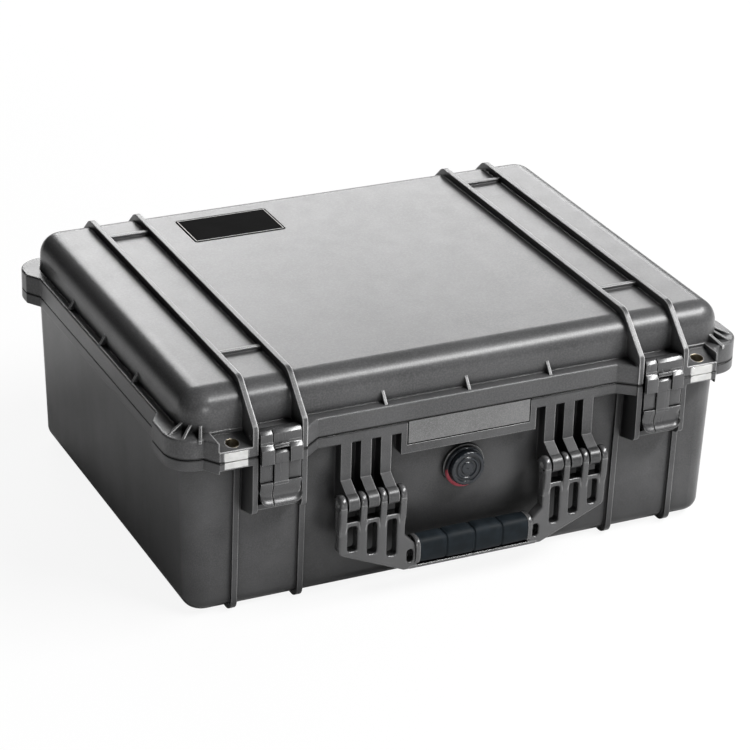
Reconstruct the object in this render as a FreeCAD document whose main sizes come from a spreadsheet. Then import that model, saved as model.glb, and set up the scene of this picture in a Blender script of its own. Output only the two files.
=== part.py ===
import FreeCAD, Part
import os
import Sketcher

# A protective hard case: a deep moulded base and a shallow ribbed lid on two rear hinges,
# two double-throw latches, a folding front handle, padlock holes and a pressure valve.
# The front of the case is towards -Y. Heights are counted from the parting line.

# Driving sizes, in millimetres, with what each one measures
SIZES = [
    ("shell_length", "498", "outside length of the walls at the parting line"),
    ("shell_width", "374", "outside width of the walls at the parting line"),
    ("shell_round", "22", "plan radius of the wall corners"),
    ("wall", "5.5", "wall thickness of both shells"),
    ("lid_depth", "50", "height of the lid above its rim face"),
    ("lid_draw", "2", "how far the lid walls lean in towards the top"),
    ("lid_round", "19", "radius of the lid's top edge"),
    ("base_depth", "151", "depth of the base below its rim face"),
    ("base_draw", "5", "how far the base walls lean in towards the floor"),
    ("base_round", "12", "radius of the base's bottom edge"),
    ("parting_gap", "0.8", "gap between the two rims"),
    ("rim_round", "1.5", "radius of the rims' outer edges"),
    ("rim_side", "6", "rim overhang at the ends"),
    ("rim_front", "9.5", "rim overhang at the front"),
    ("rim_rear", "8", "rim overhang at the rear"),
    ("lid_rim_height", "17", "height of the lid's rim"),
    ("base_rim_height", "10", "height of the base's rim"),
    ("bumper_reach", "14.5", "overhang of the corner bumpers at the ends"),
    ("bumper_round", "24", "plan radius of the bumper corners"),
    ("bumper_front_start", "50", "from the front wall back to the start of a front bumper"),
    ("bumper_rear_start", "38", "from the rear wall to the start of a rear bumper"),
    ("bumper_ramp", "13", "length of the ramp into a bumper"),
    ("groove_width", "5.5", "width of the seal groove in the lid's rim"),
    ("groove_depth", "8", "depth of the seal groove"),
    ("tongue_width", "2.6", "width of the tongue on the base's rim"),
    ("tongue_height", "4.6", "height of the tongue"),
    ("seal_height", "3.8", "height of the seal in its groove"),
    ("seal_clearance", "0.1", "gap beside the seal"),
    ("latch_inset", "72.8", "from the end walls to the latch centres"),
    ("bay_pitch", "43", "distance between the two ribs beside a latch"),
    ("rib_width", "4.5", "thickness of the lid ribs and latch guards"),
    ("rib_rise", "6.5", "height of the ribs above the lid"),
    ("rib_front_inset", "12", "from the front wall in to the bend of a rib"),
    ("rib_rear_inset", "15", "from the rear wall in to the bend of a rib"),
    ("rib_bend_round", "14", "radius of the rib at its bends"),
    ("guard_reach", "22", "reach of the latch guards in front of the wall"),
    ("guard_top", "25", "height of the guards above the parting line"),
    ("guard_drop", "52", "depth of the guards below the parting line"),
    ("guard_round", "7", "radius of the guards' corners"),
    ("bar_width", "4", "width of the cross bars between the ribs"),
    ("bar_rise", "3", "height of the cross bars above the lid"),
    ("front_bar_inset", "67", "from the front wall to the front cross bar"),
    ("rear_bar_inset", "49", "from the rear wall to the rear cross bar"),
    ("flare", "14.5", "length of the flared rim beside each inner guard"),
    ("gusset_width", "2.5", "thickness of the gussets on the lid's rim"),
    ("gusset_rise", "13", "height of the gussets above the rim"),
    ("front_gusset_pitch", "76", "distance between the front gussets"),
    ("side_gusset_pitch", "78", "distance between the gussets at the ends"),
    ("corner_gusset_rise", "7", "height of the corner gussets above the rim"),
    ("corner_gusset_length", "14", "length of the corner gussets"),
    ("foot_pitch", "59", "distance between the two foot ribs of a pair"),
    ("foot_width", "5", "thickness of the foot ribs"),
    ("foot_proud", "3", "how far the foot ribs stand out of the base"),
    ("hasp_width", "28.5", "length of the padlock hasp beside its guard"),
    ("hasp_facet", "9", "length of the slanted face between hasp and bumper"),
    ("hasp_height", "9", "height of the lid's hasp at its front"),
    ("hasp_slope", "5", "rise of the lid's hasp towards the wall"),
    ("hasp_depth", "6.5", "depth of the base's hasp at its front"),
    ("padlock_bore", "10", "diameter of the padlock holes"),
    ("padlock_room", "1", "extra diameter of the holes in the plastic"),
    ("padlock_inset", "9.5", "from the hasp's front face back to the padlock hole"),
    ("padlock_guard_length", "20", "length of the folded steel guards"),
    ("padlock_guard_depth", "18", "depth of the steel guards from front to back"),
    ("padlock_guard_sheet", "2.5", "thickness of the steel guards"),
    ("lid_guard_height", "7.6", "front height of the lid's steel guards"),
    ("base_guard_height", "5.6", "front height of the base's steel guards"),
    ("hinge_out", "19.5", "from the rear wall to the hinge axis"),
    ("hinge_ear_radius", "6.5", "radius of the hinge ears"),
    ("hinge_pin", "5", "diameter of the hinge pins"),
    ("hinge_knuckle_width", "20", "width of the base's middle hinge knuckle"),
    ("hinge_web", "22", "depth of the webs under the base's hinge ears"),
    ("pin_fit", "0.04", "radial clearance of the pins in what turns on them"),
    ("latch_width", "35.5", "width of a latch"),
    ("latch_pin", "4", "diameter of the latch pins"),
    ("latch_pin_out", "6.6", "from the rim's front face to the latch pin"),
    ("latch_pin_height", "14.6", "height of the latch pin above the lid's rim face"),
    ("latch_knuckle", "6.2", "radius of the link about the latch pin"),
    ("latch_front", "14", "from the rim's front face to the front of the link"),
    ("latch_block_front", "17.5", "from the rim's front face to the front of the link's blocks"),
    ("latch_block_top", "8.5", "top of the link's blocks above the lid's rim face"),
    ("latch_block_drop", "7.5", "bottom of the link's blocks below the lid's rim face"),
    ("link_drop", "23.6", "end of the link below the lid's rim face"),
    ("link_back", "3.5", "from the rim's front face to the back of the link's lower part"),
    ("lever_pin", "3.6", "diameter of the lever pin"),
    ("lever_pin_out", "10.5", "from the rim's front face to the lever pin"),
    ("lever_pin_drop", "0.5", "lever pin below the lid's rim face"),
    ("lever_knuckle", "5.4", "radius of the lever about its pin"),
    ("lever_tongue", "12.5", "width of the lever's tongue"),
    ("lever_gap", "0.6", "gap between lever and link"),
    ("lever_drop", "45", "end of the lever below the lid's rim face"),
    ("pull_drop", "24.4", "start of the finger pull below the lid's rim face"),
    ("lever_back", "8", "from the rim's front face to the back of the lever"),
    ("lever_thickness", "8", "thickness of the lever"),
    ("lever_flare", "2", "how far the end of the finger pull stands out"),
    ("nose_height", "4", "height of the lever's nose"),
    ("nose_gap", "0.8", "gap between the nose and the catch bar above it"),
    ("flare_height", "7", "height of the flared end of the finger pull"),
    ("pull_round", "6", "radius of the finger pull's corners"),
    ("catch_top", "27", "top of the catch bar below the base's rim face"),
    ("catch_height", "6", "height of the catch bar"),
    ("catch_out", "2.5", "reach of the catch bar in front of the rim face"),
    ("catch_gap", "0.4", "gap between lever and catch bar"),
    ("bracket_offset", "94.2", "from the middle to the centre of a handle bracket"),
    ("bracket_pitch", "18", "distance between the ribs of a handle bracket"),
    ("bracket_width", "9.5", "thickness of a handle bracket's ribs"),
    ("bracket_knuckle", "7.5", "radius of the handle brackets about the pin"),
    ("handle_pin", "5", "diameter of the handle pins"),
    ("handle_pin_out", "11.5", "from the rim's front face to the handle pin"),
    ("handle_pin_drop", "58", "handle pin below the base's rim face"),
    ("handle_knuckle", "8", "radius of the handle's fingers about the pin"),
    ("handle_finger", "6", "width of the handle's fingers"),
    ("handle_thickness", "11", "thickness of the handle frame"),
    ("handle_drop", "71.5", "from the handle pin to the bottom of the handle"),
    ("handle_shoulder", "48", "from the handle pin to the handle's lower outer corners"),
    ("handle_strip", "3", "height of the strip under the grip"),
    ("finger_gap_drop", "16", "from the handle pin to the end of the finger slots"),
    ("slot_start", "24", "from the handle pin to the start of the arm slots"),
    ("slot_length", "22", "length of the outermost arm slot"),
    ("slot_step", "5", "how much longer each next arm slot is"),
    ("slot_width", "8", "width of the arm slots"),
    ("grip_length", "104", "length of the grip"),
    ("grip_height", "24", "height of the grip"),
    ("grip_depth", "20", "front to back size of the grip"),
    ("grip_round", "9", "radius of the grip's edges"),
    ("grip_groove", "1.4", "width of the grooves in the grip"),
    ("grip_groove_depth", "1", "depth of the grooves in the grip"),
    ("grip_gap", "0.3", "gap between the grip and the strip below it"),
    ("grip_back", "2", "grip axis behind the handle pin"),
    ("grip_fit", "0.1", "gap between the grip and the bar inside it"),
    ("bar_height", "12", "height of the handle's bar inside the grip"),
    ("bar_depth", "10", "front to back size of the handle's bar"),
    ("panel_length", "125", "length of the name panel"),
    ("panel_height", "29", "height of the name panel"),
    ("plate_length", "114", "length of the name plate"),
    ("plate_height", "21", "height of the name plate"),
    ("plate_depth", "1.2", "thickness of the name plate"),
    ("plate_gap", "0.2", "gap around the plates"),
    ("label_length", "87.5", "length of the lid's label plate"),
    ("label_width", "51", "width of the lid's label plate"),
    ("label_thickness", "0.8", "thickness of the lid's label plate"),
    ("label_recess", "0.5", "depth of the label's recess in the lid"),
    ("label_left", "80.8", "from the middle to the label's centre, to the left"),
    ("label_rear_inset", "58", "from the rear wall to the label's centre"),
    ("label_round", "3", "corner radius of the label plate"),
    ("valve_drop", "54", "valve centre below the base's rim face"),
    ("valve_boss", "38", "diameter of the valve's boss"),
    ("valve_boss_proud", "2", "how far the valve's boss stands out of the wall"),
    ("valve_stem", "16", "diameter of the valve's stem"),
    ("valve_hole", "16.4", "diameter of the valve's hole in the wall"),
    ("valve_bore", "9", "diameter of the air way through the valve"),
    ("valve_gasket", "36.5", "diameter of the valve's gasket"),
    ("valve_gasket_height", "2", "thickness of the valve's gasket"),
    ("valve_flange", "33", "diameter of the valve's flange"),
    ("valve_flange_height", "1.5", "thickness of the valve's flange"),
    ("valve_spigot", "14", "diameter of the spigot that the knob turns on"),
    ("valve_spigot_height", "3", "height of the spigot"),
    ("valve_knob", "31", "diameter of the valve's knob"),
    ("valve_knob_height", "5", "height of the valve's knob"),
    ("valve_knob_gap", "0.3", "gap under and in front of the knob"),
    ("valve_rings", "2.2", "width of the rings on the valve's knob"),
    ("valve_ring_depth", "0.8", "depth of the rings on the valve's knob"),
    ("valve_nut", "26", "width of the valve's nut inside the case"),
    ("valve_nut_height", "5", "height of the valve's nut"),
    ("valve_stem_end", "3", "length of stem that shows past the nut"),
    ("membrane_height", "1", "thickness of the valve's membrane"),
]


class Size:
    """A number of the sheet, or worked out from it, with the expression that yields it."""

    def __init__(self, number, words):
        self.number = number
        self.words = words

    def __add__(self, other):
        other = as_size(other)
        return Size(self.number + other.number, f"({self.words} + {other.words})")

    def __sub__(self, other):
        other = as_size(other)
        return Size(self.number - other.number, f"({self.words} - {other.words})")

    def __mul__(self, factor):
        factor = as_size(factor)
        return Size(self.number * factor.number, f"({self.words} * {factor.words})")

    def __truediv__(self, factor):
        factor = as_size(factor)
        return Size(self.number / factor.number, f"({self.words} / {factor.words})")

    def __neg__(self):
        return Size(-self.number, f"(0 - {self.words})")


def as_size(value):
    if isinstance(value, Size):
        return value
    return Size(float(value), f"({value})")


class Sheet:
    """The spreadsheet of driving sizes, each one an attribute."""

    def __init__(self, document, sizes):
        cells = document.addObject("Spreadsheet::Sheet", "Sizes")
        for row, (alias, number, meaning) in enumerate(sizes, start=1):
            cells.set(f"A{row}", number)
            cells.setAlias(f"A{row}", alias)
            cells.set(f"B{row}", meaning)
            setattr(self, alias, Size(float(number), f"Sizes.{alias}"))


doc = FreeCAD.newDocument("protective_case")
size = Sheet(doc, SIZES)
doc.recompute()
Vector = FreeCAD.Vector

# Places that several pieces share
zero = as_size(0)
half_length = size.shell_length / 2
half_width = size.shell_width / 2
rim_x = half_length + size.rim_side
rim_front_y = half_width + size.rim_front
rim_rear_y = half_width + size.rim_rear
bumper_x = half_length + size.bumper_reach
guard_y = half_width + size.guard_reach
half_rib = size.rib_width / 2
latch_x = half_length - size.latch_inset
rib_places = (latch_x - size.bay_pitch / 2, latch_x + size.bay_pitch / 2)
foot_places = (latch_x - size.foot_pitch / 2, latch_x + size.foot_pitch / 2)
hasp_start = rib_places[1] + half_rib
hasp_end = hasp_start + size.hasp_width
padlock_x = hasp_start + size.hasp_width / 2
padlock_y = guard_y - size.padlock_inset
hinge_y = half_width + size.hinge_out
handle_pin_y = rim_front_y + size.handle_pin_out
latch_pin_y = rim_front_y + size.latch_pin_out
lever_pin_y = rim_front_y + size.lever_pin_out
bay_width = size.bay_pitch + size.rib_width
hinge_length = size.foot_pitch + size.foot_width
inside_y = half_width - size.wall / 2 - size.base_draw * size.handle_pin_drop / size.base_depth
valve_face_y = half_width + size.valve_boss_proud
handle_reach = handle_pin_y + size.handle_knuckle
hinge_reach = hinge_y + size.hinge_ear_radius
ground = size.base_depth + size.foot_proud
lid_lift = ground + size.parting_gap
frame_shift = (handle_reach - hinge_reach) / 2
SIDES = (("left", -1), ("right", 1))


# Sketching

def origin_plane(body, role):
    for feature in body.Origin.OriginFeatures:
        if feature.Role == role:
            return feature
    raise ValueError(f"{body.Label} has no {role}")


def sketch_on(body, name, role, offset):
    sketch = body.newObject("Sketcher::SketchObject", name)
    sketch.AttachmentSupport = [(origin_plane(body, role), "")]
    sketch.MapMode = "FlatFace"
    offset = as_size(offset)
    sketch.AttachmentOffset = FreeCAD.Placement(Vector(0, 0, offset.number), FreeCAD.Rotation())
    sketch.setExpression("AttachmentOffset.Base.z", offset.words)
    return sketch


def hold(sketch, kind, place, value):
    """Adds a dimension bound to a size."""
    index = sketch.addConstraint(Sketcher.Constraint(kind, *place, value.number))
    name = f"{kind.lower()}_{index}"
    sketch.renameConstraint(index, name)
    sketch.setExpression(f"Constraints.{name}", value.words)


def hold_point(sketch, geometry, point, x, y):
    """Fixes a point of a sketch at a place counted from the sketch's origin."""
    for kind, axis, value in (("DistanceX", -2, x), ("DistanceY", -1, y)):
        if value is zero:
            sketch.addConstraint(Sketcher.Constraint("PointOnObject", geometry, point, axis))
        else:
            hold(sketch, kind, (-1, 1, geometry, point), value)


def draw_polygon(sketch, corners):
    first = sketch.GeometryCount
    count = len(corners)
    points = [Vector(x.number, y.number, 0) for x, y in corners]
    lines = [Part.LineSegment(points[i], points[(i + 1) % count]) for i in range(count)]
    sketch.addGeometry(lines, False)
    joints = [
        Sketcher.Constraint("Coincident", first + i, 2, first + (i + 1) % count, 1)
        for i in range(count)
    ]
    sketch.addConstraint(joints)
    for i, (x, y) in enumerate(corners):
        hold_point(sketch, first + i, 1, x, y)


def draw_box(sketch, x_low, x_high, y_low, y_high):
    draw_polygon(sketch, [(x_low, y_low), (x_high, y_low), (x_high, y_high), (x_low, y_high)])


def draw_circle(sketch, x, y, radius):
    first = sketch.GeometryCount
    sketch.addGeometry(Part.Circle(Vector(x.number, y.number, 0), Vector(0, 0, 1), radius.number), False)
    hold_point(sketch, first, 3, x, y)
    hold(sketch, "Radius", (first,), radius)


def draw_rounded_box(sketch, half_x, half_y, radius, x=zero, y=zero):
    """Four lines and four equal arcs about a centre."""
    first = sketch.GeometryCount
    hx = half_x.number - radius.number
    hy = half_y.number - radius.number
    reach = radius.number
    quarter = 1.5707963267948966
    corners = [(hx, -hy, -quarter), (hx, hy, 0), (-hx, hy, quarter), (-hx, -hy, 2 * quarter)]
    centres = [Vector(x.number + cx, y.number + cy, 0) for cx, cy, start in corners]
    outward = [Vector(0, -reach, 0), Vector(reach, 0, 0), Vector(0, reach, 0), Vector(-reach, 0, 0)]
    lines = [
        Part.LineSegment(centres[i - 1] + outward[i], centres[i] + outward[i])
        for i in range(4)
    ]
    arcs = [
        Part.ArcOfCircle(Part.Circle(centre, Vector(0, 0, 1), reach), start, start + quarter)
        for centre, (cx, cy, start) in zip(centres, corners)
    ]
    sketch.addGeometry(lines + arcs, False)
    rules = []
    for i in range(4):
        line = first + i
        arc = first + 4 + i
        rules.append(Sketcher.Constraint("Tangent", line, 2, arc, 1))
        rules.append(Sketcher.Constraint("Tangent", arc, 2, first + (i + 1) % 4, 1))
        rules.append(Sketcher.Constraint("Horizontal" if i % 2 == 0 else "Vertical", line))
    rules += [Sketcher.Constraint("Equal", first + 4, first + 4 + i) for i in range(1, 4)]
    sketch.addConstraint(rules)
    hold(sketch, "Radius", (first + 4,), radius)
    hold(sketch, "DistanceY", (-1, 1, first, 1), y - half_y)
    hold(sketch, "DistanceX", (-1, 1, first + 1, 1), x + half_x)
    hold(sketch, "DistanceY", (-1, 1, first + 2, 1), y + half_y)
    hold(sketch, "DistanceX", (-1, 1, first + 3, 1), x - half_x)


# Solid features

NODES = []
TURN_TO_X = FreeCAD.Rotation(Vector(0, 1, 0), 90)
TURN_TO_FRONT = FreeCAD.Rotation(Vector(1, 0, 0), 90)
UPRIGHT = FreeCAD.Rotation()


def place(thing, x, y, z, turn=UPRIGHT):
    thing.Placement = FreeCAD.Placement(Vector(x.number, y.number, z.number), turn)
    for axis, value in zip("xyz", (x, y, z)):
        thing.setExpression(f"Placement.Base.{axis}", value.words)
    return thing


def as_node(thing, label, lift):
    """Makes a solid one of the case's pieces, at its height in the case."""
    thing.Label = label
    place(thing, zero, frame_shift, lift)
    NODES.append(thing)
    return thing


def new_body(name):
    return doc.addObject("PartDesign::Body", name)


def lean(draw, depth):
    """The taper of walls that lean in by a draw over a depth."""
    return Size(0.0, f"atan((0 - {draw.words}) / {depth.words})")


def extrude(body, kind, name, sketch, length, forward, taper):
    before = body.Shape.Volume if body.Tip else 0.0
    feature = body.newObject(f"PartDesign::{kind}", name)
    feature.Profile = sketch
    feature.Length = length.number
    feature.setExpression("Length", length.words)
    feature.Reversed = forward if kind == "Pocket" else not forward
    if taper is not None:
        feature.setExpression("TaperAngle", taper.words)
    body.Tip = feature
    doc.recompute()
    after = body.Shape.Volume
    changed = after < before if kind == "Pocket" else after > before
    if not changed:
        raise ValueError(f"{name} changes nothing: {feature.getStatusString()}")
    return feature


def pad(body, name, sketch, length, forward=True, taper=None):
    return extrude(body, "Pad", name, sketch, length, forward, taper)


def pocket(body, name, sketch, length, forward=True, taper=None):
    return extrude(body, "Pocket", name, sketch, length, forward, taper)


def edges_of(feature, wanted):
    names = [f"Edge{i}" for i, edge in enumerate(feature.Shape.Edges, start=1) if wanted(edge)]
    if not names:
        raise ValueError(f"{feature.Name} has none of the edges asked for")
    return names


def round_edges(body, name, base, wanted, radius):
    feature = body.newObject("PartDesign::Fillet", name)
    feature.Base = (base, edges_of(base, wanted))
    feature.Radius = radius.number
    feature.setExpression("Radius", radius.words)
    body.Tip = feature
    doc.recompute()
    return feature


# How close two places are the same, and the sine of 45 degrees
NEAR = 0.02
SLANT = 0.7071


def at_height(height):
    """Edges that lie in a level plane."""
    return lambda edge: all(abs(v.Z - height.number) < NEAR for v in edge.Vertexes)


def upright_at(places):
    """Upright edges at given places of the plan."""
    def wanted(edge):
        ends = edge.Vertexes
        return len(ends) == 2 and abs(ends[0].Z - ends[1].Z) > NEAR and any(
            all(abs(v.X - x.number) < NEAR and abs(v.Y - y.number) < NEAR for v in ends)
            for x, y in places
        )
    return wanted


def across_at(places):
    """Edges across the case at given places of its side view."""
    def wanted(edge):
        ends = edge.Vertexes
        return len(ends) == 2 and abs(ends[0].X - ends[1].X) > NEAR and any(
            all(abs(v.Y - y.number) < NEAR and abs(v.Z - z.number) < NEAR for v in ends)
            for y, z in places
        )
    return wanted


def front_to_back_at(places):
    """Edges from front to back at given places of the front view."""
    def wanted(edge):
        ends = edge.Vertexes
        return len(ends) == 2 and abs(ends[0].Y - ends[1].Y) > NEAR and any(
            all(abs(v.X - x.number) < NEAR and abs(v.Z - z.number) < NEAR for v in ends)
            for x, z in places
        )
    return wanted


def slab(name, corners, start, width, rounds=()):
    """A plate of a side outline, across the case from a start to a width."""
    body = new_body(name)
    sketch = sketch_on(body, f"{name}_outline", "YZ_Plane", start)
    draw_polygon(sketch, corners)
    feature = pad(body, f"{name}_plate", sketch, width)
    for number, (places, radius) in enumerate(rounds):
        feature = round_edges(body, f"{name}_round_{number}", feature, across_at(places), radius)
    return body


def rod(name, x, y, z, radius, length):
    """A round bar across the case, about a middle."""
    bar = doc.addObject("Part::Cylinder", name)
    bar.setExpression("Radius", radius.words)
    bar.setExpression("Height", length.words)
    return place(bar, x - length / 2, y, z, TURN_TO_X)


def plug(name, x, y, z, radius, length):
    """A round bar towards the front, from its rear end."""
    bar = doc.addObject("Part::Cylinder", name)
    bar.setExpression("Radius", radius.words)
    bar.setExpression("Height", length.words)
    return place(bar, x, y, z, TURN_TO_FRONT)


def block(name, x, y, z):
    """A box between pairs of places along X, Y and Z."""
    box = doc.addObject("Part::Box", name)
    for side, (low, high) in zip(("Length", "Width", "Height"), (x, y, z)):
        box.setExpression(side, (high - low).words)
    return place(box, x[0], y[0], z[0])


def fuse(name, solids):
    if len(solids) == 1:
        return solids[0]
    whole = doc.addObject("Part::MultiFuse", name)
    whole.Shapes = solids
    return whole


def cut(name, solids, holes):
    """Solids joined into one, less a set of holes."""
    piece = doc.addObject("Part::Cut", name)
    piece.Base = fuse(f"{name}_solids", solids)
    piece.Tool = fuse(f"{name}_holes", holes)
    piece.Refine = True
    return piece


# Shapes that both shells share

def rim_outline():
    """The outline of both rims, with flares, hasps and bumpers."""
    inner = rib_places[0]
    outer = rib_places[1]
    right = [
        (inner - half_rib - size.flare, -rim_front_y),
        (inner, -guard_y),
        (inner, -rim_front_y),
        (outer, -rim_front_y),
        (outer, -guard_y),
        (hasp_end, -guard_y),
        (hasp_end + size.hasp_facet, -rim_front_y),
        (bumper_x, -rim_front_y),
        (bumper_x, size.bumper_front_start - size.bumper_ramp - half_width),
        (rim_x, size.bumper_front_start - half_width),
        (rim_x, half_width - size.bumper_rear_start),
        (bumper_x, half_width - size.bumper_rear_start + size.bumper_ramp),
        (bumper_x, rim_rear_y),
    ]
    left = [(-x, y) for x, y in reversed(right)]
    return right + left


def rim(body, height, upward):
    """The rim with its rounded bumper corners and outer edges."""
    outline = sketch_on(body, f"{body.Name}_rim_outline", "XY_Plane", zero)
    draw_polygon(outline, rim_outline())
    flange = pad(body, f"{body.Name}_rim", outline, height, forward=upward)
    corners = [(bumper_x * s, y) for side, s in SIDES for y in (-rim_front_y, rim_rear_y)]
    flange = round_edges(body, f"{body.Name}_bumpers", flange, upright_at(corners), size.bumper_round)
    edge = at_height(height if upward else -height)
    return round_edges(body, f"{body.Name}_rim_edge", flange, edge, size.rim_round)


def hasp_cut(body, low, high, beyond):
    """Slopes the hasps from a low front edge to a high rear edge."""
    far_y = guard_y + size.wall
    corners = [
        (-far_y, low),
        (-guard_y, low),
        (-half_width, high),
        (-half_width, beyond),
        (-far_y, beyond),
    ]
    for side, s in SIDES:
        start = hasp_start if s > 0 else -hasp_end
        sketch = sketch_on(body, f"{body.Name}_hasp_{side}_outline", "YZ_Plane", start)
        draw_polygon(sketch, corners)
        pocket(body, f"{body.Name}_hasp_{side}", sketch, size.hasp_width)


def vessel(body, depth, draw, edge_round, upward):
    """The walls and the floor of a shell, with leaning walls and rounded edges."""
    name = body.Name
    taper = lean(draw, depth)
    outside = sketch_on(body, f"{name}_outside_outline", "XY_Plane", zero)
    draw_rounded_box(outside, half_length, half_width, size.shell_round)
    pad(body, f"{name}_outside", outside, depth, forward=upward, taper=taper)
    inside = sketch_on(body, f"{name}_inside_outline", "XY_Plane", zero)
    draw_rounded_box(inside, half_length - size.wall, half_width - size.wall, size.shell_round - size.wall)
    inner_depth = depth - size.wall
    feature = pocket(body, f"{name}_inside", inside, inner_depth, forward=upward, taper=taper)
    way = 1 if upward else -1
    inner_edge = at_height(inner_depth * way)
    feature = round_edges(body, f"{name}_inside_edge", feature, inner_edge, edge_round - size.wall)
    return round_edges(body, f"{name}_outside_edge", feature, at_height(depth * way), edge_round)


def ring(name, width, low, height):
    """A ring along the middle of the rim."""
    body = new_body(name)
    sketch = sketch_on(body, f"{name}_outline", "XY_Plane", low)
    for step in (width / 2, -width / 2):
        draw_rounded_box(sketch, half_length + step, half_width + step, size.shell_round + step)
    pad(body, f"{name}_ring", sketch, height)
    return body


def along_the_wall(depth, draw, edge_round):
    """The middle of a shell's wall in side view, from the front rim round to the rear rim."""
    middle = edge_round - size.wall / 2
    start_y = half_width - size.wall / 2
    end_y = half_width - draw - size.wall / 2
    slant = middle * (1 - SLANT)
    rear = [
        (start_y, zero),
        (end_y, depth - edge_round),
        (end_y - slant, depth - size.wall / 2 - slant),
        (half_width - draw - edge_round, depth - size.wall / 2),
    ]
    return [(-y, z) for y, z in rear] + rear[::-1]


def padlock_seats(name, front_height, way, through):
    """Recesses for the folded steel guards and the padlock holes over them."""
    half_guard = size.padlock_guard_length / 2 + size.plate_gap
    back = size.padlock_guard_depth + size.plate_gap - guard_y
    holes = []
    for side, s in SIDES:
        x = (padlock_x * s - half_guard, padlock_x * s + half_guard)
        beyond = -guard_y - size.wall
        bed_z = sorted_pair(zero, size.padlock_guard_sheet * way)
        face_z = sorted_pair(zero, (front_height + size.plate_gap) * way)
        holes.append(block(f"{name}_guard_bed_{side}", x, (beyond, back), bed_z))
        front = (beyond, size.padlock_guard_sheet - guard_y)
        holes.append(block(f"{name}_guard_face_{side}", x, front, face_z))
        hole = doc.addObject("Part::Cylinder", f"{name}_padlock_{side}")
        hole.setExpression("Radius", ((size.padlock_bore + size.padlock_room) / 2).words)
        hole.setExpression("Height", through.words)
        holes.append(place(hole, padlock_x * s, -padlock_y, zero if way > 0 else -through))
    return holes


def sorted_pair(one, other):
    return (one, other) if one.number < other.number else (other, one)


def padlock_guard(label, s, front_height, way, lift):
    """A folded steel guard: a level flange with the padlock hole and a lip at the front."""
    sheet = size.padlock_guard_sheet
    corners = [
        (-guard_y, zero),
        (size.padlock_guard_depth - guard_y, zero),
        (size.padlock_guard_depth - guard_y, sheet * way),
        (sheet - guard_y, sheet * way),
        (sheet - guard_y, front_height * way),
        (-guard_y, front_height * way),
    ]
    start = padlock_x * s - size.padlock_guard_length / 2
    body = slab(label, corners, start, size.padlock_guard_length)
    bore = sketch_on(body, f"{label}_bore_outline", "XY_Plane", zero)
    draw_circle(bore, padlock_x * s, -padlock_y, size.padlock_bore / 2)
    pocket(body, f"{label}_bore", bore, sheet, forward=way > 0)
    as_node(body, label, lift)


# Lid

lid_core = new_body("lid_core")
rim(lid_core, size.lid_rim_height, True)
hasp_cut(lid_core, size.hasp_height, size.hasp_height + size.hasp_slope, size.lid_rim_height + size.wall)
vessel(lid_core, size.lid_depth, size.lid_draw, size.lid_round, True)
lid_solids = [lid_core]
lid_holes = [ring("seal_groove", size.groove_width, zero, size.groove_depth)]

# Ribs over the lid, which run down as latch guards at the front and hinge ears at the rear
rib_top = size.lid_depth + size.rib_rise
rib_corners = [
    (-guard_y, zero),
    (-guard_y, size.guard_top),
    (size.rib_front_inset - half_width, rib_top),
    (half_width - size.rib_rear_inset, rib_top),
    (hinge_y, size.guard_top),
    (hinge_reach, size.hinge_ear_radius),
    (hinge_reach, zero),
] + along_the_wall(size.lid_depth, size.lid_draw, size.lid_round)[::-1]
rib_rounds = [
    ([rib_corners[1], rib_corners[4]], size.guard_round),
    ([rib_corners[2], rib_corners[3]], size.rib_bend_round),
]
hinge_z_lid = -size.parting_gap / 2
for side, s in SIDES:
    for spot, x in zip(("inner", "outer"), rib_places):
        name = f"lid_rib_{spot}_{side}"
        lid_solids.append(slab(name, rib_corners, x * s - half_rib, size.rib_width, rib_rounds))
        ear = f"lid_ear_{spot}_{side}"
        lid_solids.append(rod(ear, x * s, hinge_y, hinge_z_lid, size.hinge_ear_radius, size.rib_width))

# Low bars between the ribs of each pair
for side, s in SIDES:
    bar_x = (latch_x * s - size.bay_pitch / 2, latch_x * s + size.bay_pitch / 2)
    bar_z = (size.lid_depth - size.wall / 2, size.lid_depth + size.bar_rise)
    spots = (("front", size.front_bar_inset - half_width), ("rear", half_width - size.rear_bar_inset))
    for spot, y in spots:
        bar_y = (y - size.bar_width / 2, y + size.bar_width / 2)
        lid_solids.append(block(f"lid_bar_{spot}_{side}", bar_x, bar_y, bar_z))

# Gussets on the rim, at the front, the ends and the corners
gusset_foot = size.lid_rim_height - size.wall / 2
gusset_tip = size.lid_rim_height + size.gusset_rise
front_gusset = [
    (size.gusset_width - rim_front_y, gusset_foot),
    (size.wall / 2 - half_width + size.lid_draw / 2, gusset_foot),
    (size.wall / 2 - half_width + size.lid_draw / 2, gusset_tip),
    (size.gusset_width - rim_front_y, size.lid_rim_height),
]
for number in (-1, 0, 1):
    start = size.front_gusset_pitch * number - size.gusset_width / 2
    lid_solids.append(slab(f"front_gusset_{number + 2}", front_gusset, start, size.gusset_width))

for number in (-1, 0, 1):
    for side, s in SIDES:
        name = f"end_gusset_{number + 2}_{side}"
        body = new_body(name)
        near = size.side_gusset_pitch * number - size.gusset_width / 2
        sketch = sketch_on(body, f"{name}_outline", "XZ_Plane", near)
        outer = (rim_x - size.gusset_width / 2) * s
        inner = (half_length - size.wall / 2 - size.lid_draw / 2) * s
        draw_polygon(sketch, [
            (outer, gusset_foot),
            (inner, gusset_foot),
            (inner, gusset_tip),
            (outer, size.lid_rim_height),
        ])
        pad(body, f"{name}_plate", sketch, size.gusset_width)
        lid_solids.append(body)

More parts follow.
